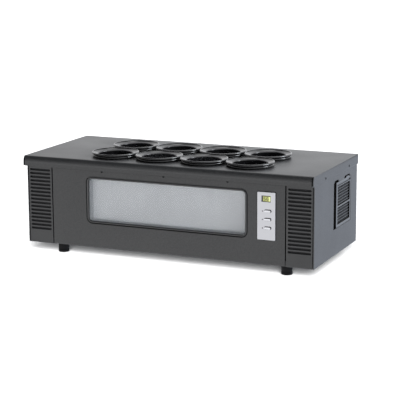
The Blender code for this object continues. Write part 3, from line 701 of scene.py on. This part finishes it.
FILTER_ROOM = 0.0006  # round the cassette, in the side panel's opening
FINGER_GAP = 0.0195  # in front of the cassette
NOTCH_R = 0.0055
REAR_NOTCH = (0.0417, 0.0127)  # its round ends, in front of the cassette's rear edge
FRONT_NOTCH = (0.0075, 0.0285)  # and behind the opening's front edge


def filter_cutout():
    """The opening for the air filter, with two finger notches in its top edge."""
    y0 = FILTER_Y0 - FINGER_GAP
    z0 = FILTER_Z0 - FILTER_ROOM
    y1 = FILTER_Y1 + FILTER_ROOM
    z1 = FILTER_Z1 + FILTER_ROOM
    rear = bump(FILTER_Y1 - REAR_NOTCH[0], FILTER_Y1 - REAR_NOTCH[1], z1, NOTCH_R)
    front = bump(y0 + FRONT_NOTCH[0], y0 + FRONT_NOTCH[1], z1, NOTCH_R)
    return [(y0, z0), (y1, z0), (y1, z1), *rear, *front, (y0, z1)]


def make_side_panels(mats):
    for node, extra in (("left_side_panel", []), ("right_side_panel", [filter_cutout()])):
        low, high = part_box(node)
        outlines = [rectangle(*side_box(node)), *extra, *side_screw_holes()]
        mat = mats["coated_sheet"]
        panel = plate(f"fine_{node}", "X", low.x, high.x, outlines, mat, 0.0005)
        stand_in(panel, "coated_sheet", node)


VENT_X = 0.290  # middles of the rear vents, from the middle of the casing
VENT_W = 0.070
VENT_H = 0.005
VENT_COUNT = 8
VENT_LOWEST = 0.070
VENT_PITCH = 0.012
PAD_HALF = 0.040  # half the width of the black sheets inside the vents, painted shade for the inside behind them
PAD_LOW = 0.062
PAD_HIGH = 0.162
INLET_W = 0.0284
INLET_H = 0.0204


def make_rear_panel(mats):
    """Plain sheet with a stack of vents at each end, black sheets inside them as painted shade,
    and the inlet.
    """
    low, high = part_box("rear_panel")
    inlet = middle("mains_inlet")
    outlines = [
        rectangle(low.x, low.z, high.x, high.z),
        block(inlet.x, inlet.z, INLET_W, INLET_H),
    ]
    for side in (-1, 1):
        for index in range(VENT_COUNT):
            vent_z = BOTTOM + VENT_LOWEST + index * VENT_PITCH
            outlines.append(pill(side * VENT_X, vent_z, VENT_W, VENT_H))
    panel = plate("fine_rear_panel", "Y", low.y, high.y, outlines, mats["coated_sheet"], 0.0004)
    stand_in(panel, "coated_sheet", "rear_panel")
    for word, x in (("left", -VENT_X), ("right", VENT_X)):
        # A black sheet behind each stack of vents: painted shade for the casing's inside.
        pad = rounded(x - PAD_HALF, BOTTOM + PAD_LOW, x + PAD_HALF, BOTTOM + PAD_HIGH, 0.003)
        near, far = low.y - 0.0016, low.y - GAP
        screen = plate(f"vent_shade_sheet_{word}", "Y", near, far, [pad], mats["flat_black"])
        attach(screen, "casing")


# ---- collars


COLLAR_R = 0.054
SPIGOT_LOW = -0.014  # lower end of the collar, from the top of the lid


def collar_profile(height):
    """(radius, level above the lid): spigot, dished top, rolled crest and a bead under it."""
    roll = 0.0026
    crest = arc(COLLAR_R - roll, height - roll, roll, 125, -50, 14)
    bead = arc(0.0497, 0.0033, 0.0030, 55, -75, 12)
    dish = []
    for step in range(9):
        radius = WELL_R + 0.0026 + 0.0094 * step / 8
        dish.append((radius, 0.0062 + 0.0034 * (step / 8) ** 1.5))
    lip = arc(WELL_R + 0.0016, 0.0046, 0.0016, 180, 90, 6)
    return [
        (WELL_R, SPIGOT_LOW),
        *lip,
        *dish,
        *crest[2:],
        *bead,
        (COLLAR_SPIGOT_R, GAP),
        (COLLAR_SPIGOT_R, -0.0134),
        (COLLAR_SPIGOT_R - 0.0006, SPIGOT_LOW),
    ]


def make_collars(mats):
    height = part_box(COLLARS[0])[1].z - TOP
    first = turned("collar", "Z", collar_profile(height), mats["collar_rubber"], 96, True, 50)
    for node in COLLARS:
        centre = middle(node)
        collar = copy_of(first, f"fine_{node}", (centre.x, centre.y, TOP))
        stand_in(collar, "collar_rubber", node)
    bpy.data.objects.remove(first)


# ---- window


BEAD_R = 0.0021
BEAD_IN = 0.0040  # its middle, from the gasket's edge
BEAD_SHIFT = Vector((0.0006, 0.0, 0.0008))  # shows more of the foot's painted shadow at the left and the bottom


def frame_ring(depth, y):
    """A rounded rectangle of the window's shape, this far inside its edge."""
    return placed(rounded(*grown(WINDOW, -depth), WINDOW_R - depth, WINDOW_STEPS), "Y", y)


def make_window(mats):
    """A gasket with a broad bead and two panes with ground edges.

    The gasket's foot is coloured black, except along its top edge: painted shadow of the bead
    along its bottom and sides.
    """
    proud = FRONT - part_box("window_gasket")[0].y
    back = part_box("window_gasket")[1].y
    foot = [(0.0, FRONT - GAP), (0.0002, FRONT - 0.0007), (0.0019, FRONT - 0.0008)]
    bead = [(u, FRONT - v) for u, v in arc(BEAD_IN, proud - BEAD_R, BEAD_R, 172, 20, 12)]
    bead += [(GASKET_W - 0.0006, FRONT)]
    waist = WINDOW_LAP + GAP  # of the gasket, where it goes back through the panel's opening
    inside = [(GASKET_W, back), (waist, back), (waist, FRONT - GAP)]
    rings = [frame_ring(depth, y) for depth, y in foot]
    for depth, y in bead:
        rings.append([point + BEAD_SHIFT for point in frame_ring(depth, y)])
    rings += [frame_ring(depth, y) for depth, y in inside]
    gasket = loft("fine_window_gasket", rings, mats["gasket_rubber"], True, 50)
    # The foot gets the black material, except along the top edge: painted shadow of the bead.
    gasket.data.materials.append(mats["flat_black"])
    top_edge = WINDOW[3] - 0.004
    for polygon in gasket.data.polygons:
        if polygon.index < len(foot) * len(rings[0]) and polygon.center.z < top_edge:
            polygon.material_index = 1
    stand_in(gasket, "gasket_rubber", "window_gasket")
    for node, glass in (("outer_pane", "outer_glass"), ("inner_pane", "inner_glass")):
        low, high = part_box(node)
        outline = rounded(low.x, low.z, high.x, high.z, 0.002, 4)
        pane = plate(f"fine_{node}", "Y", low.y, high.y, [outline], mats[glass], 0.0003)
        stand_in(pane, "glass", node)


# ---- chilled cell


LINER_R = 0.014  # of the tub's inner corners
SPACER_LAP = 0.010  # how far the tub's front covers the glazing spacer


def make_liner(mats):
    """A pressed tub with rounded inner corners and a rounded floor, open behind the window."""
    low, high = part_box("cell_liner")
    inner = (low.x + SHEET, low.y + SHEET, high.x - SHEET, high.y - SHEET)
    floor = low.z + SHEET
    outer = rounded(low.x, low.y, high.x, high.y, LINER_R + SHEET)
    rings = [
        placed(outer, "Z", low.z),
        placed(outer, "Z", high.z),
        placed(rounded(*inner, LINER_R), "Z", high.z),
    ]
    curve = LINER_R * 0.6
    for depth, rise in arc(curve, curve, curve, 180, 270, 6):
        rings.append(placed(rounded(*grown(inner, -depth), LINER_R - depth), "Z", floor + rise))
    liner = loft("fine_cell_liner", rings, mats["liner"])
    opening = rounded(*grown(face_box("glazing_spacer"), -SPACER_LAP), 0.009, WINDOW_STEPS)
    carve(liner, [tool("Y", low.y - 0.01, low.y + 0.01, opening)])
    stand_in(liner, "liner", "cell_liner")


def make_lamp(mats):
    low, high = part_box("cell_lamp")
    outline = rounded(low.y, low.z, high.y, high.z, 0.003, 6)
    lamp = plate("fine_cell_lamp", "X", low.x, high.x, [outline], mats["lamp"], 0.0008)
    stand_in(lamp, "lamp", "cell_lamp")


# ---- controls

BUTTONS = {"button_1": "button_upper", "button_2": "button_middle", "button_3": "button_lower"}
BUTTON_W = 0.0152
BUTTON_H = 0.0052
POCKET_ROOM = 0.0008  # round a button's cap, in the fascia
POCKET_SHIFT = 0.00065  # the pockets sit a little up and to the right of the caps, showing more of their dark walls, which are painted shade
LIGHT_HOLE_R = 0.0012
FLANGE_OUT = 0.0010  # of a button, round its cap
FLANGE_BACK = 0.0012  # behind the fascia
STEM_W = 0.006
STEM_H = 0.003


def make_fascia(mats):
    """The white strip, with pockets for the buttons whose walls are coloured dark as painted
    shade, and a thin black ring round it as a painted shadow outline.
    """
    low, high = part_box("control_fascia")
    outlines = [rounded(*FASCIA, 0.0015, 6), rounded(*grown(DISPLAY, GAP), 0.0006, 3)]
    for index, node in enumerate(BUTTONS):
        centre = middle(node)
        pocket = (centre.x + POCKET_SHIFT, centre.z + POCKET_SHIFT)
        outlines.append(pill(*pocket, BUTTON_W + 2 * POCKET_ROOM, BUTTON_H + 2 * POCKET_ROOM))
        light = middle(f"indicator_{index + 1}")
        outlines.append(circle(light.x, light.z, LIGHT_HOLE_R, HOLE_STEPS))
    fascia = plate("fine_control_fascia", "Y", low.y, high.y, outlines, mats["fascia"], 0.0003)
    # Walls of the openings inside the strip get the dark plastic: painted shade in the pockets and
    # round the display.
    fascia.data.materials.append(mats["fan_plastic"])
    inner = grown(FASCIA, -0.003)
    for polygon in fascia.data.polygons:
        centre = polygon.center
        inside = inner[0] < centre.x < inner[2] and inner[1] < centre.z < inner[3]
        if inside and abs(polygon.normal.y) < 0.9:
            polygon.material_index = 1
    stand_in(fascia, "fascia", "control_fascia")
    # A thin black ring round the strip: painted shadow along its edges.
    ring = [
        rounded(*grown(FASCIA, 0.0011), 0.0020, 6),
        rounded(*grown(FASCIA, 0.0001), 0.0016, 6),
    ]
    near, far = low.y + 0.0009, high.y + 0.0002
    painted_rim = plate("fascia_shadow_ring", "Y", near, far, ring, mats["flat_black"], 0.0002)
    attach(painted_rim, "casing")


def make_buttons(mats):
    """Pill-shaped caps, dished for the fingertip, with a flange behind the fascia and a stem."""
    face, fascia_back = (corner.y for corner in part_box("control_fascia"))
    for node, body in BUTTONS.items():
        centre = middle(node)
        low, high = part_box(node)
        shell = [
            (0.0019, low.y + 0.00045),
            (0.0014, low.y + 0.00030),
            (0.0009, low.y + 0.00005),
            (0.0006, low.y),
            (0.0002, low.y + 0.00015),
            (0.0, low.y + 0.0005),
            (0.0, fascia_back + GAP),
            (-FLANGE_OUT, fascia_back + GAP),
            (-FLANGE_OUT, fascia_back + FLANGE_BACK),
        ]
        rings = []
        for depth, y in shell:
            outline = pill(centre.x, centre.z, BUTTON_W - 2 * depth, BUTTON_H - 2 * depth)
            rings.append(placed(outline, "Y", y))
        stem = pill(centre.x, centre.z, STEM_W, STEM_H)
        rings += [placed(stem, "Y", fascia_back + FLANGE_BACK), placed(stem, "Y", high.y)]
        button = loft(f"fine_{node}", rings, mats["button"])
        button.data.materials.append(mats["fan_plastic"])
        # The cap's sides and the parts well behind the fascia's face get the dark plastic: painted
        # shade inside the pocket.
        for polygon in button.data.polygons:
            if abs(polygon.normal.y) < 0.6 or polygon.center.y > face + 0.0006:
                polygon.material_index = 1
        stand_in(button, "button", node, body=body)


SEGMENTS = {"5": "afgcd", "6": "afgcde"}  # the bars that are dark, of seven from a to g
DIGIT_W = 0.0040
DIGIT_H = 0.0066
BAR = 0.0014
FIGURES = ((-0.0032, "5"), (0.0030, "6"))  # from the display's middle


def digit_bars(x, z, bars):
    """Outlines of the dark bars of a digit whose middle is at (x, z). Neither digit needs b."""
    half_w = DIGIT_W / 2
    half_h = DIGIT_H / 2
    upright = half_h - BAR
    level = DIGIT_W - BAR
    places = {
        "a": (0, half_h, level, BAR),
        "c": (half_w, -half_h / 2, BAR, upright),
        "d": (0, -half_h, level, BAR),
        "e": (-half_w, -half_h / 2, BAR, upright),
        "f": (-half_w, half_h / 2, BAR, upright),
        "g": (0, 0, level, BAR),
    }
    outlines = []
    for bar in bars:
        u, v, width, height = places[bar]
        outlines.append(block(x + u, z + v, width, height))
    return outlines


def make_display(mats):
    """A display with a dark bezel, broad at the left, and a plain two-figure number."""
    low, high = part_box("display_lens")
    edge = rounded(*DISPLAY, 0.0005, 3)
    lens = plate("fine_display", "Y", low.y + 0.0002, high.y, [edge], mats["display"], 0.0002)
    stand_in(lens, "display", "display_lens")
    x0, z0, x1, z1 = DISPLAY
    inner = rounded(x0 + 0.0036, z0 + 0.0013, x1 - 0.0005, z1 - 0.0015, 0.0004, 3)
    mat = mats["bezel"]
    bezel = plate("display_bezel", "Y", low.y, low.y + 0.0006, [edge, inner], mat, 0.0001)
    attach(bezel, "casing")
    bm = bmesh.new()
    centre = middle("display_lens")
    for offset, digit in FIGURES:
        for outline in digit_bars(centre.x + offset, centre.z, SEGMENTS[digit]):
            add_plate(bm, "Y", low.y + 0.00005, low.y + 0.0004, [outline], 0.00008, 2)
    figures = new_object("display_figures", bm, mats["bezel"])
    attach(figures, "casing")


# ---- air filter


RAIL_FRONT = 0.0085  # widths of the cassette's rails
RAIL_REAR = 0.0055
RAIL_LOW = 0.0060
RAIL_TOP = 0.0112
CROSSBAR_Z = BOTTOM + 0.1063
CROSSBAR_HALF = 0.00175
GROOVE_IN = 0.0018  # depth of the groove in the top rail


def make_filter(mats):
    """The cassette: a frame with a crossbar and a groove along its broad top rail.

    Its edge faces and its pull tab are coloured black, as painted shade.
    """
    low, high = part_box("filter_frame")
    tab = bump(FILTER_Y1 - TAB_ENDS[0], FILTER_Y1 - TAB_ENDS[1], FILTER_Z1, TAB_R)
    edge = rectangle(FILTER_Y0, FILTER_Z0, FILTER_Y1, FILTER_Z1)
    outline = [*edge[:3], *tab, edge[3]]
    y0, z0 = FILTER_Y0 + RAIL_FRONT, FILTER_Z0 + RAIL_LOW
    y1, z1 = FILTER_Y1 - RAIL_REAR, FILTER_Z1 - RAIL_TOP
    lower = rounded(y0, z0, y1, CROSSBAR_Z - CROSSBAR_HALF, 0.001, 4)
    upper = rounded(y0, CROSSBAR_Z + CROSSBAR_HALF, y1, z1, 0.001, 4)
    outlines = [outline, lower, upper]
    mat = mats["filter_frame"]
    cassette = plate("fine_filter_frame", "X", low.x, high.x, outlines, mat, 0.0006, 4)
    groove = rounded(
        FILTER_Y0 + 0.004, FILTER_Z1 - 0.0088, FILTER_Y1 - 0.003, FILTER_Z1 - 0.0040, 0.0015, 4
    )
    carve(cassette, [tool("X", high.x - GROOVE_IN, high.x + 0.001, groove)])
    # Edge faces and the tab get the black material: painted shade in the opening round the
    # cassette.
    cassette.data.materials.append(mats["flat_black"])
    for polygon in cassette.data.polygons:
        if abs(polygon.normal.x) < 0.35 or polygon.center.z > FILTER_Z1 + 0.0012:
            polygon.material_index = 1
    soften(cassette, 0.00035)
    stand_in(cassette, "filter_frame", "filter_frame", body="filter_cassette")
    make_media(mats)
    make_screen(mats, (y0, z0, y1, z1))


def make_media(mats):
    """Pleated filter paper, with rounded folds that run front to back."""
    low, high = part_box("filter_mesh")
    thick = 0.0012
    pleats = 15
    steps = pleats * 12
    front = []
    for index in range(steps + 1):
        share = index / steps
        wave = (1 - math.cos(2 * math.pi * pleats * share)) / 2
        front.append((low.x + (high.x - thick - low.x) * wave, low.z + (high.z - low.z) * share))
    outline = [(x + thick, z) for x, z in front] + [(x, z) for x, z in reversed(front)]
    rings = [placed(outline, "Y", low.y), placed(outline, "Y", high.y)]
    media = loft("fine_filter_media", rings, mats["filter_mesh"])
    stand_in(media, "filter_mesh", "filter_mesh", body="filter_cassette")


def make_screen(mats, box):
    """A coarse net of moulded bars in front of the paper, let into the frame."""
    bar = 0.0013
    pitch = 0.0064
    reach = 0.0008  # into the frame
    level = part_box("filter_frame")[0].x + 0.0030
    y0, z0, y1, z1 = box
    bm = bmesh.new()
    uprights = round((y1 - y0) / pitch)
    for index in range(1, uprights):
        y = y0 + (y1 - y0) * index / uprights
        outline = rectangle(y - bar / 2, z0 - reach, y + bar / 2, z1 + reach)
        add_plate(bm, "X", level, level + bar, [outline], 0.0002, 2)
    rows = round((z1 - z0) / pitch)
    for index in range(1, rows):
        z = z0 + (z1 - z0) * index / rows
        outline = rectangle(y0 - reach, z - bar / 2, y1 + reach, z + bar / 2)
        add_plate(bm, "X", level + bar * 0.6, level + bar * 1.6, [outline], 0.0002, 2)
    screen = new_object("filter_screen", bm, mats["mesh_wire"])
    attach(screen, "filter_cassette")


# ---- feet and screws


def make_feet(mats):
    low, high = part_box("foot_front_left")
    radius = (high.x - low.x) / 2
    profile = [
        (radius * 0.55, 0.0012),
        (radius * 0.62, 0.0),
        (radius - 0.0022, 0.0),
        *arc(radius - 0.0018, 0.0018, 0.0018, -70, 0, 6),
        (radius, 0.0062),
        (radius - 0.0006, 0.0068),
        (radius - 0.0006, 0.0082),
        (radius - 0.0002, 0.0088),
        (radius - 0.0004, high.z - 0.0012),
        (radius - 0.0012, high.z),
    ]
    foot = turned("foot", "Z", profile, mats["foot_rubber"])
    for node in ("foot_front_left", "foot_front_right", "foot_rear_left", "foot_rear_right"):
        centre = middle(node)
        stand_in(copy_of(foot, f"fine_{node}", (centre.x, centre.y, 0)), "foot_rubber", node)
    bpy.data.objects.remove(foot)


SHANK_R = 0.0015
FRONT_HEAD_R = 0.0026
SIDE_HEAD_R = 0.0028


def make_screw(axis, out, head_r, head_h, length, mats):
    """A domed screw with a cross recess. Its head faces up the axis if out is 1, down if -1."""
    profile = []
    for share in (0.15, 0.4, 0.6, 0.8, 0.93, 1.0):
        profile.append((head_r * share, out * (head_h * math.sqrt(1 - share ** 2 * 0.8))))
    profile += [(head_r, out * GAP), (SHANK_R, out * GAP), (SHANK_R, -out * length)]
    screw = turned("screw", axis, profile, mats["screw"], 36)
    arm = head_r * 0.62
    slim = head_r * 0.16
    recess = [
        (slim, -arm), (slim, -slim), (arm, -slim), (arm, slim), (slim, slim), (slim, arm),
        (-slim, arm), (-slim, slim), (-arm, slim), (-arm, -slim), (-slim, -slim), (-slim, -arm),
    ]
    near, far = sorted((out * head_h * 0.35, out * head_h * 2))
    carve(screw, [tool(axis, near, far, recess)])
    return screw


def make_screws(mats):
    low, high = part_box("front_screw_1")
    screw = make_screw("Y", -1, FRONT_HEAD_R, FRONT - low.y, high.y - FRONT, mats)
    for index in (1, 2, 3):
        node = f"front_screw_{index}"
        centre = middle(node)
        copy = copy_of(screw, f"fine_{node}", (centre.x, FRONT, centre.z))
        stand_in(copy, "screw", node)
    bpy.data.objects.remove(screw)
    low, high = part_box("right_screw_1")
    head_h, length = high.x - LID_HIGH.x, LID_HIGH.x - low.x
    screw = make_screw("X", 1, SIDE_HEAD_R, head_h, length, mats)
    for word, level, turn in (("right", LID_HIGH.x, 0.0), ("left", LID_LOW.x, math.pi)):
        for index in (1, 2):
            node = f"{word}_screw_{index}"
            centre = middle(node)
            copy = copy_of(screw, f"fine_{node}", (level, centre.y, centre.z), turn)
            stand_in(copy, "screw", node)
    bpy.data.objects.remove(screw)


# ---- carried-over nodes

CARRIED = [  # material, how much the edges are rounded, and the nodes
    ("coated_sheet", 0.0004, "base_pan"),
    ("foam", 0.0006, "foam_jacket", "top_insulation"),
    ("spacer", 0.0004, "glazing_spacer"),
    ("aluminium", 0.0006, "cold_block_left", "cold_block_right"),
    ("ceramic", 0.0003, "thermoelectric_left", "thermoelectric_right"),
    ("anodised", 0.0003, "heat_sink_left", "heat_sink_right"),
    ("anodised", 0.0008, "power_supply"),
    ("fan_plastic", 0.0004, "fan_frame_left", "fan_frame_right"),
    ("fan_plastic", 0.0002, "fan_rotor_left", "fan_rotor_right"),
    ("fan_plastic", 0.0003, "mains_inlet"),
    ("pale_plastic", 0.0003, "cell_fan_frame"),
    ("pale_plastic", 0.0002, "cell_fan_rotor"),
    ("board", 0.0002, "control_board"),
    ("indicator", 0.0001, "indicator_1", "indicator_2", "indicator_3"),
]


def carry_over(mats):
    """Gives the CAD's own meshes, which are shown as they are, a material and softer edges."""
    for mat, width, *nodes in CARRIED:
        for node in nodes:
            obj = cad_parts[node]
            obj.data.materials.clear()
            obj.data.materials.append(mats[mat])
            soften(obj, width)


# ---- stage

CAMERA_PLACE = Vector((LEFT + 1.69698, FRONT - 2.85209, BOTTOM + 0.78411))
CAMERA_YAW = 23.872  # degrees, anticlockwise from +Y
CAMERA_PITCH = 11.814  # degrees below the horizon
CAMERA_ROLL = -0.350
CAMERA_LENS = 130.85  # mm on a 36 mm sensor
FLOOR_HALF = 60
FLOOR_DROP = 0.0002  # leaves the feet just clear of the paper
WASH_ENERGY = 14
WASH_WIDTH = 32  # degrees across
WASH_TILT = 66  # degrees from straight down
KEY_POWER = 84
OVERHEAD_POWER = 26


def make_camera():
    data = bpy.data.cameras.new("camera")
    data.lens = CAMERA_LENS
    data.sensor_width = 36
    data.clip_start = 0.05
    data.clip_end = 200
    camera = bpy.data.objects.new("camera", data)
    bpy.context.scene.collection.objects.link(camera)
    tilt = Euler((math.radians(90 - CAMERA_PITCH), 0, math.radians(CAMERA_YAW))).to_matrix()
    roll = Matrix.Rotation(math.radians(CAMERA_ROLL), 3, "Z")
    camera.matrix_world = Matrix.Translation(CAMERA_PLACE) @ (tilt @ roll).to_4x4()
    bpy.context.scene.camera = camera


def make_floor():
    bm = bmesh.new()
    bmesh.ops.create_grid(bm, x_segments=8, y_segments=8, size=FLOOR_HALF)
    floor = new_object("floor", bm, None)
    floor.location.z = -FLOOR_DROP
    mat, tree, shader = start_material("floor_paper", Roughness=0.9, Specular_IOR_Level=0.1)
    paper = noise(tree, coordinates(tree), 300.0)
    wire(tree, shader, Base_Color=mixed(tree, paper, (0.59, 0.59, 0.59), (0.62, 0.62, 0.62)))
    floor.data.materials.append(mat)
    floor.visible_glossy = False
    floor.visible_diffuse = False
    return floor


def make_floor_light(floor):
    """A low, soft wash from the camera's side that falls on the floor only."""
    data = bpy.data.lights.new("wash", "SUN")
    data.energy = WASH_ENERGY
    data.angle = math.radians(WASH_WIDTH)
    light = bpy.data.objects.new("wash", data)
    bpy.context.scene.collection.objects.link(light)
    light.rotation_euler = (math.radians(WASH_TILT), 0, math.radians(CAMERA_YAW))
    receivers = bpy.data.collections.new("floor_only")
    receivers.objects.link(floor)
    light.light_linking.receiver_collection = receivers


WALL_LEFT = (1.02, 1.02, 1.03)  # radiance of the studio's walls
WALL_RIGHT = (1.50, 1.53, 1.58)
CEILING = (0.06, 0.06, 0.07)
PAPER_IN_FRONT = (2.15, 2.15, 2.17)  # of the bright paper sweep, front left
PAPER_BEHIND = (1.10, 1.20, 1.39)  # and back right
CEILING_AIM = Vector((-0.35, -0.45, 0.82)).normalized()
BEHIND_AIM = Vector((0.4, 0.9, 0.0)).normalized()


def make_world():
    """Bright walls, a dark ceiling above the front, and the paper below the horizon."""
    world = bpy.data.worlds.new("studio")
    bpy.context.scene.world = world
    world.use_nodes = True
    tree = world.node_tree
    source = add_node(tree, "ShaderNodeTexCoord")

    def along(aim, from_low, from_high):
        made = add_node(tree, "ShaderNodeVectorMath", operation="DOT_PRODUCT")
        made.inputs[1].default_value = aim
        tree.links.new(source.outputs["Generated"], made.inputs[0])
        return spread(tree, made.outputs["Value"], 0, 1, from_low, from_high)

    walls = mixed(tree, along((1, 0, 0), -0.65, 0.1), WALL_LEFT, WALL_RIGHT)
    upper = mixed(tree, along(CEILING_AIM, 0.35, 0.85), walls, CEILING)
    lower = mixed(tree, along(BEHIND_AIM, -0.7, 0.6), PAPER_IN_FRONT, PAPER_BEHIND)
    colour = mixed(tree, along((0, 0, -1), 0.0, 0.1), upper, lower)
    tree.links.new(colour, tree.nodes["Background"].inputs["Color"])


def make_light(name, place, aim, size, energy, receivers, colour=(1, 1, 1)):
    """A soft light at a place, turned to its aim, that falls on what the receivers name."""
    data = bpy.data.lights.new(name, "AREA")
    data.shape = "RECTANGLE"
    data.size, data.size_y = size
    data.energy = energy
    data.color = colour
    light = bpy.data.objects.new(name, data)
    bpy.context.scene.collection.objects.link(light)
    light.location = place
    light.rotation_mode = "QUATERNION"
    light.rotation_quaternion = (Vector(aim) - Vector(place)).to_track_quat("-Z", "Y")
    light.light_linking.receiver_collection = receivers


def make_stage():
    """Camera, white paper floor, world and lights. The floor has a light of its own."""
    bpy.context.scene.view_settings.view_transform = "Standard"
    make_camera()
    floor = make_floor()
    make_floor_light(floor)
    make_world()
    others = bpy.data.collections.new("all_but_floor")
    others.objects.link(floor)
    others.collection_objects[0].light_linking.link_state = "EXCLUDE"
    cool = (0.90, 0.95, 1.0)
    make_light("key", (2.4, 0.9, 2.0), (0, 0, 0.1), (1.1, 1.4), KEY_POWER, others, cool)
    make_light("overhead", (0.2, 0.9, 3.0), (0, 0, 0), (2.4, 1.6), OVERHEAD_POWER, others)


# ---- whole object


def main():
    make_stage()
    mats = make_materials()
    make_lid(mats)
    make_front_panel(mats)
    make_grilles(mats)
    make_side_panels(mats)
    make_rear_panel(mats)
    make_collars(mats)
    make_window(mats)
    make_liner(mats)
    make_lamp(mats)
    make_fascia(mats)
    make_buttons(mats)
    make_display(mats)
    make_filter(mats)
    make_feet(mats)
    make_screws(mats)
    carry_over(mats)


main()
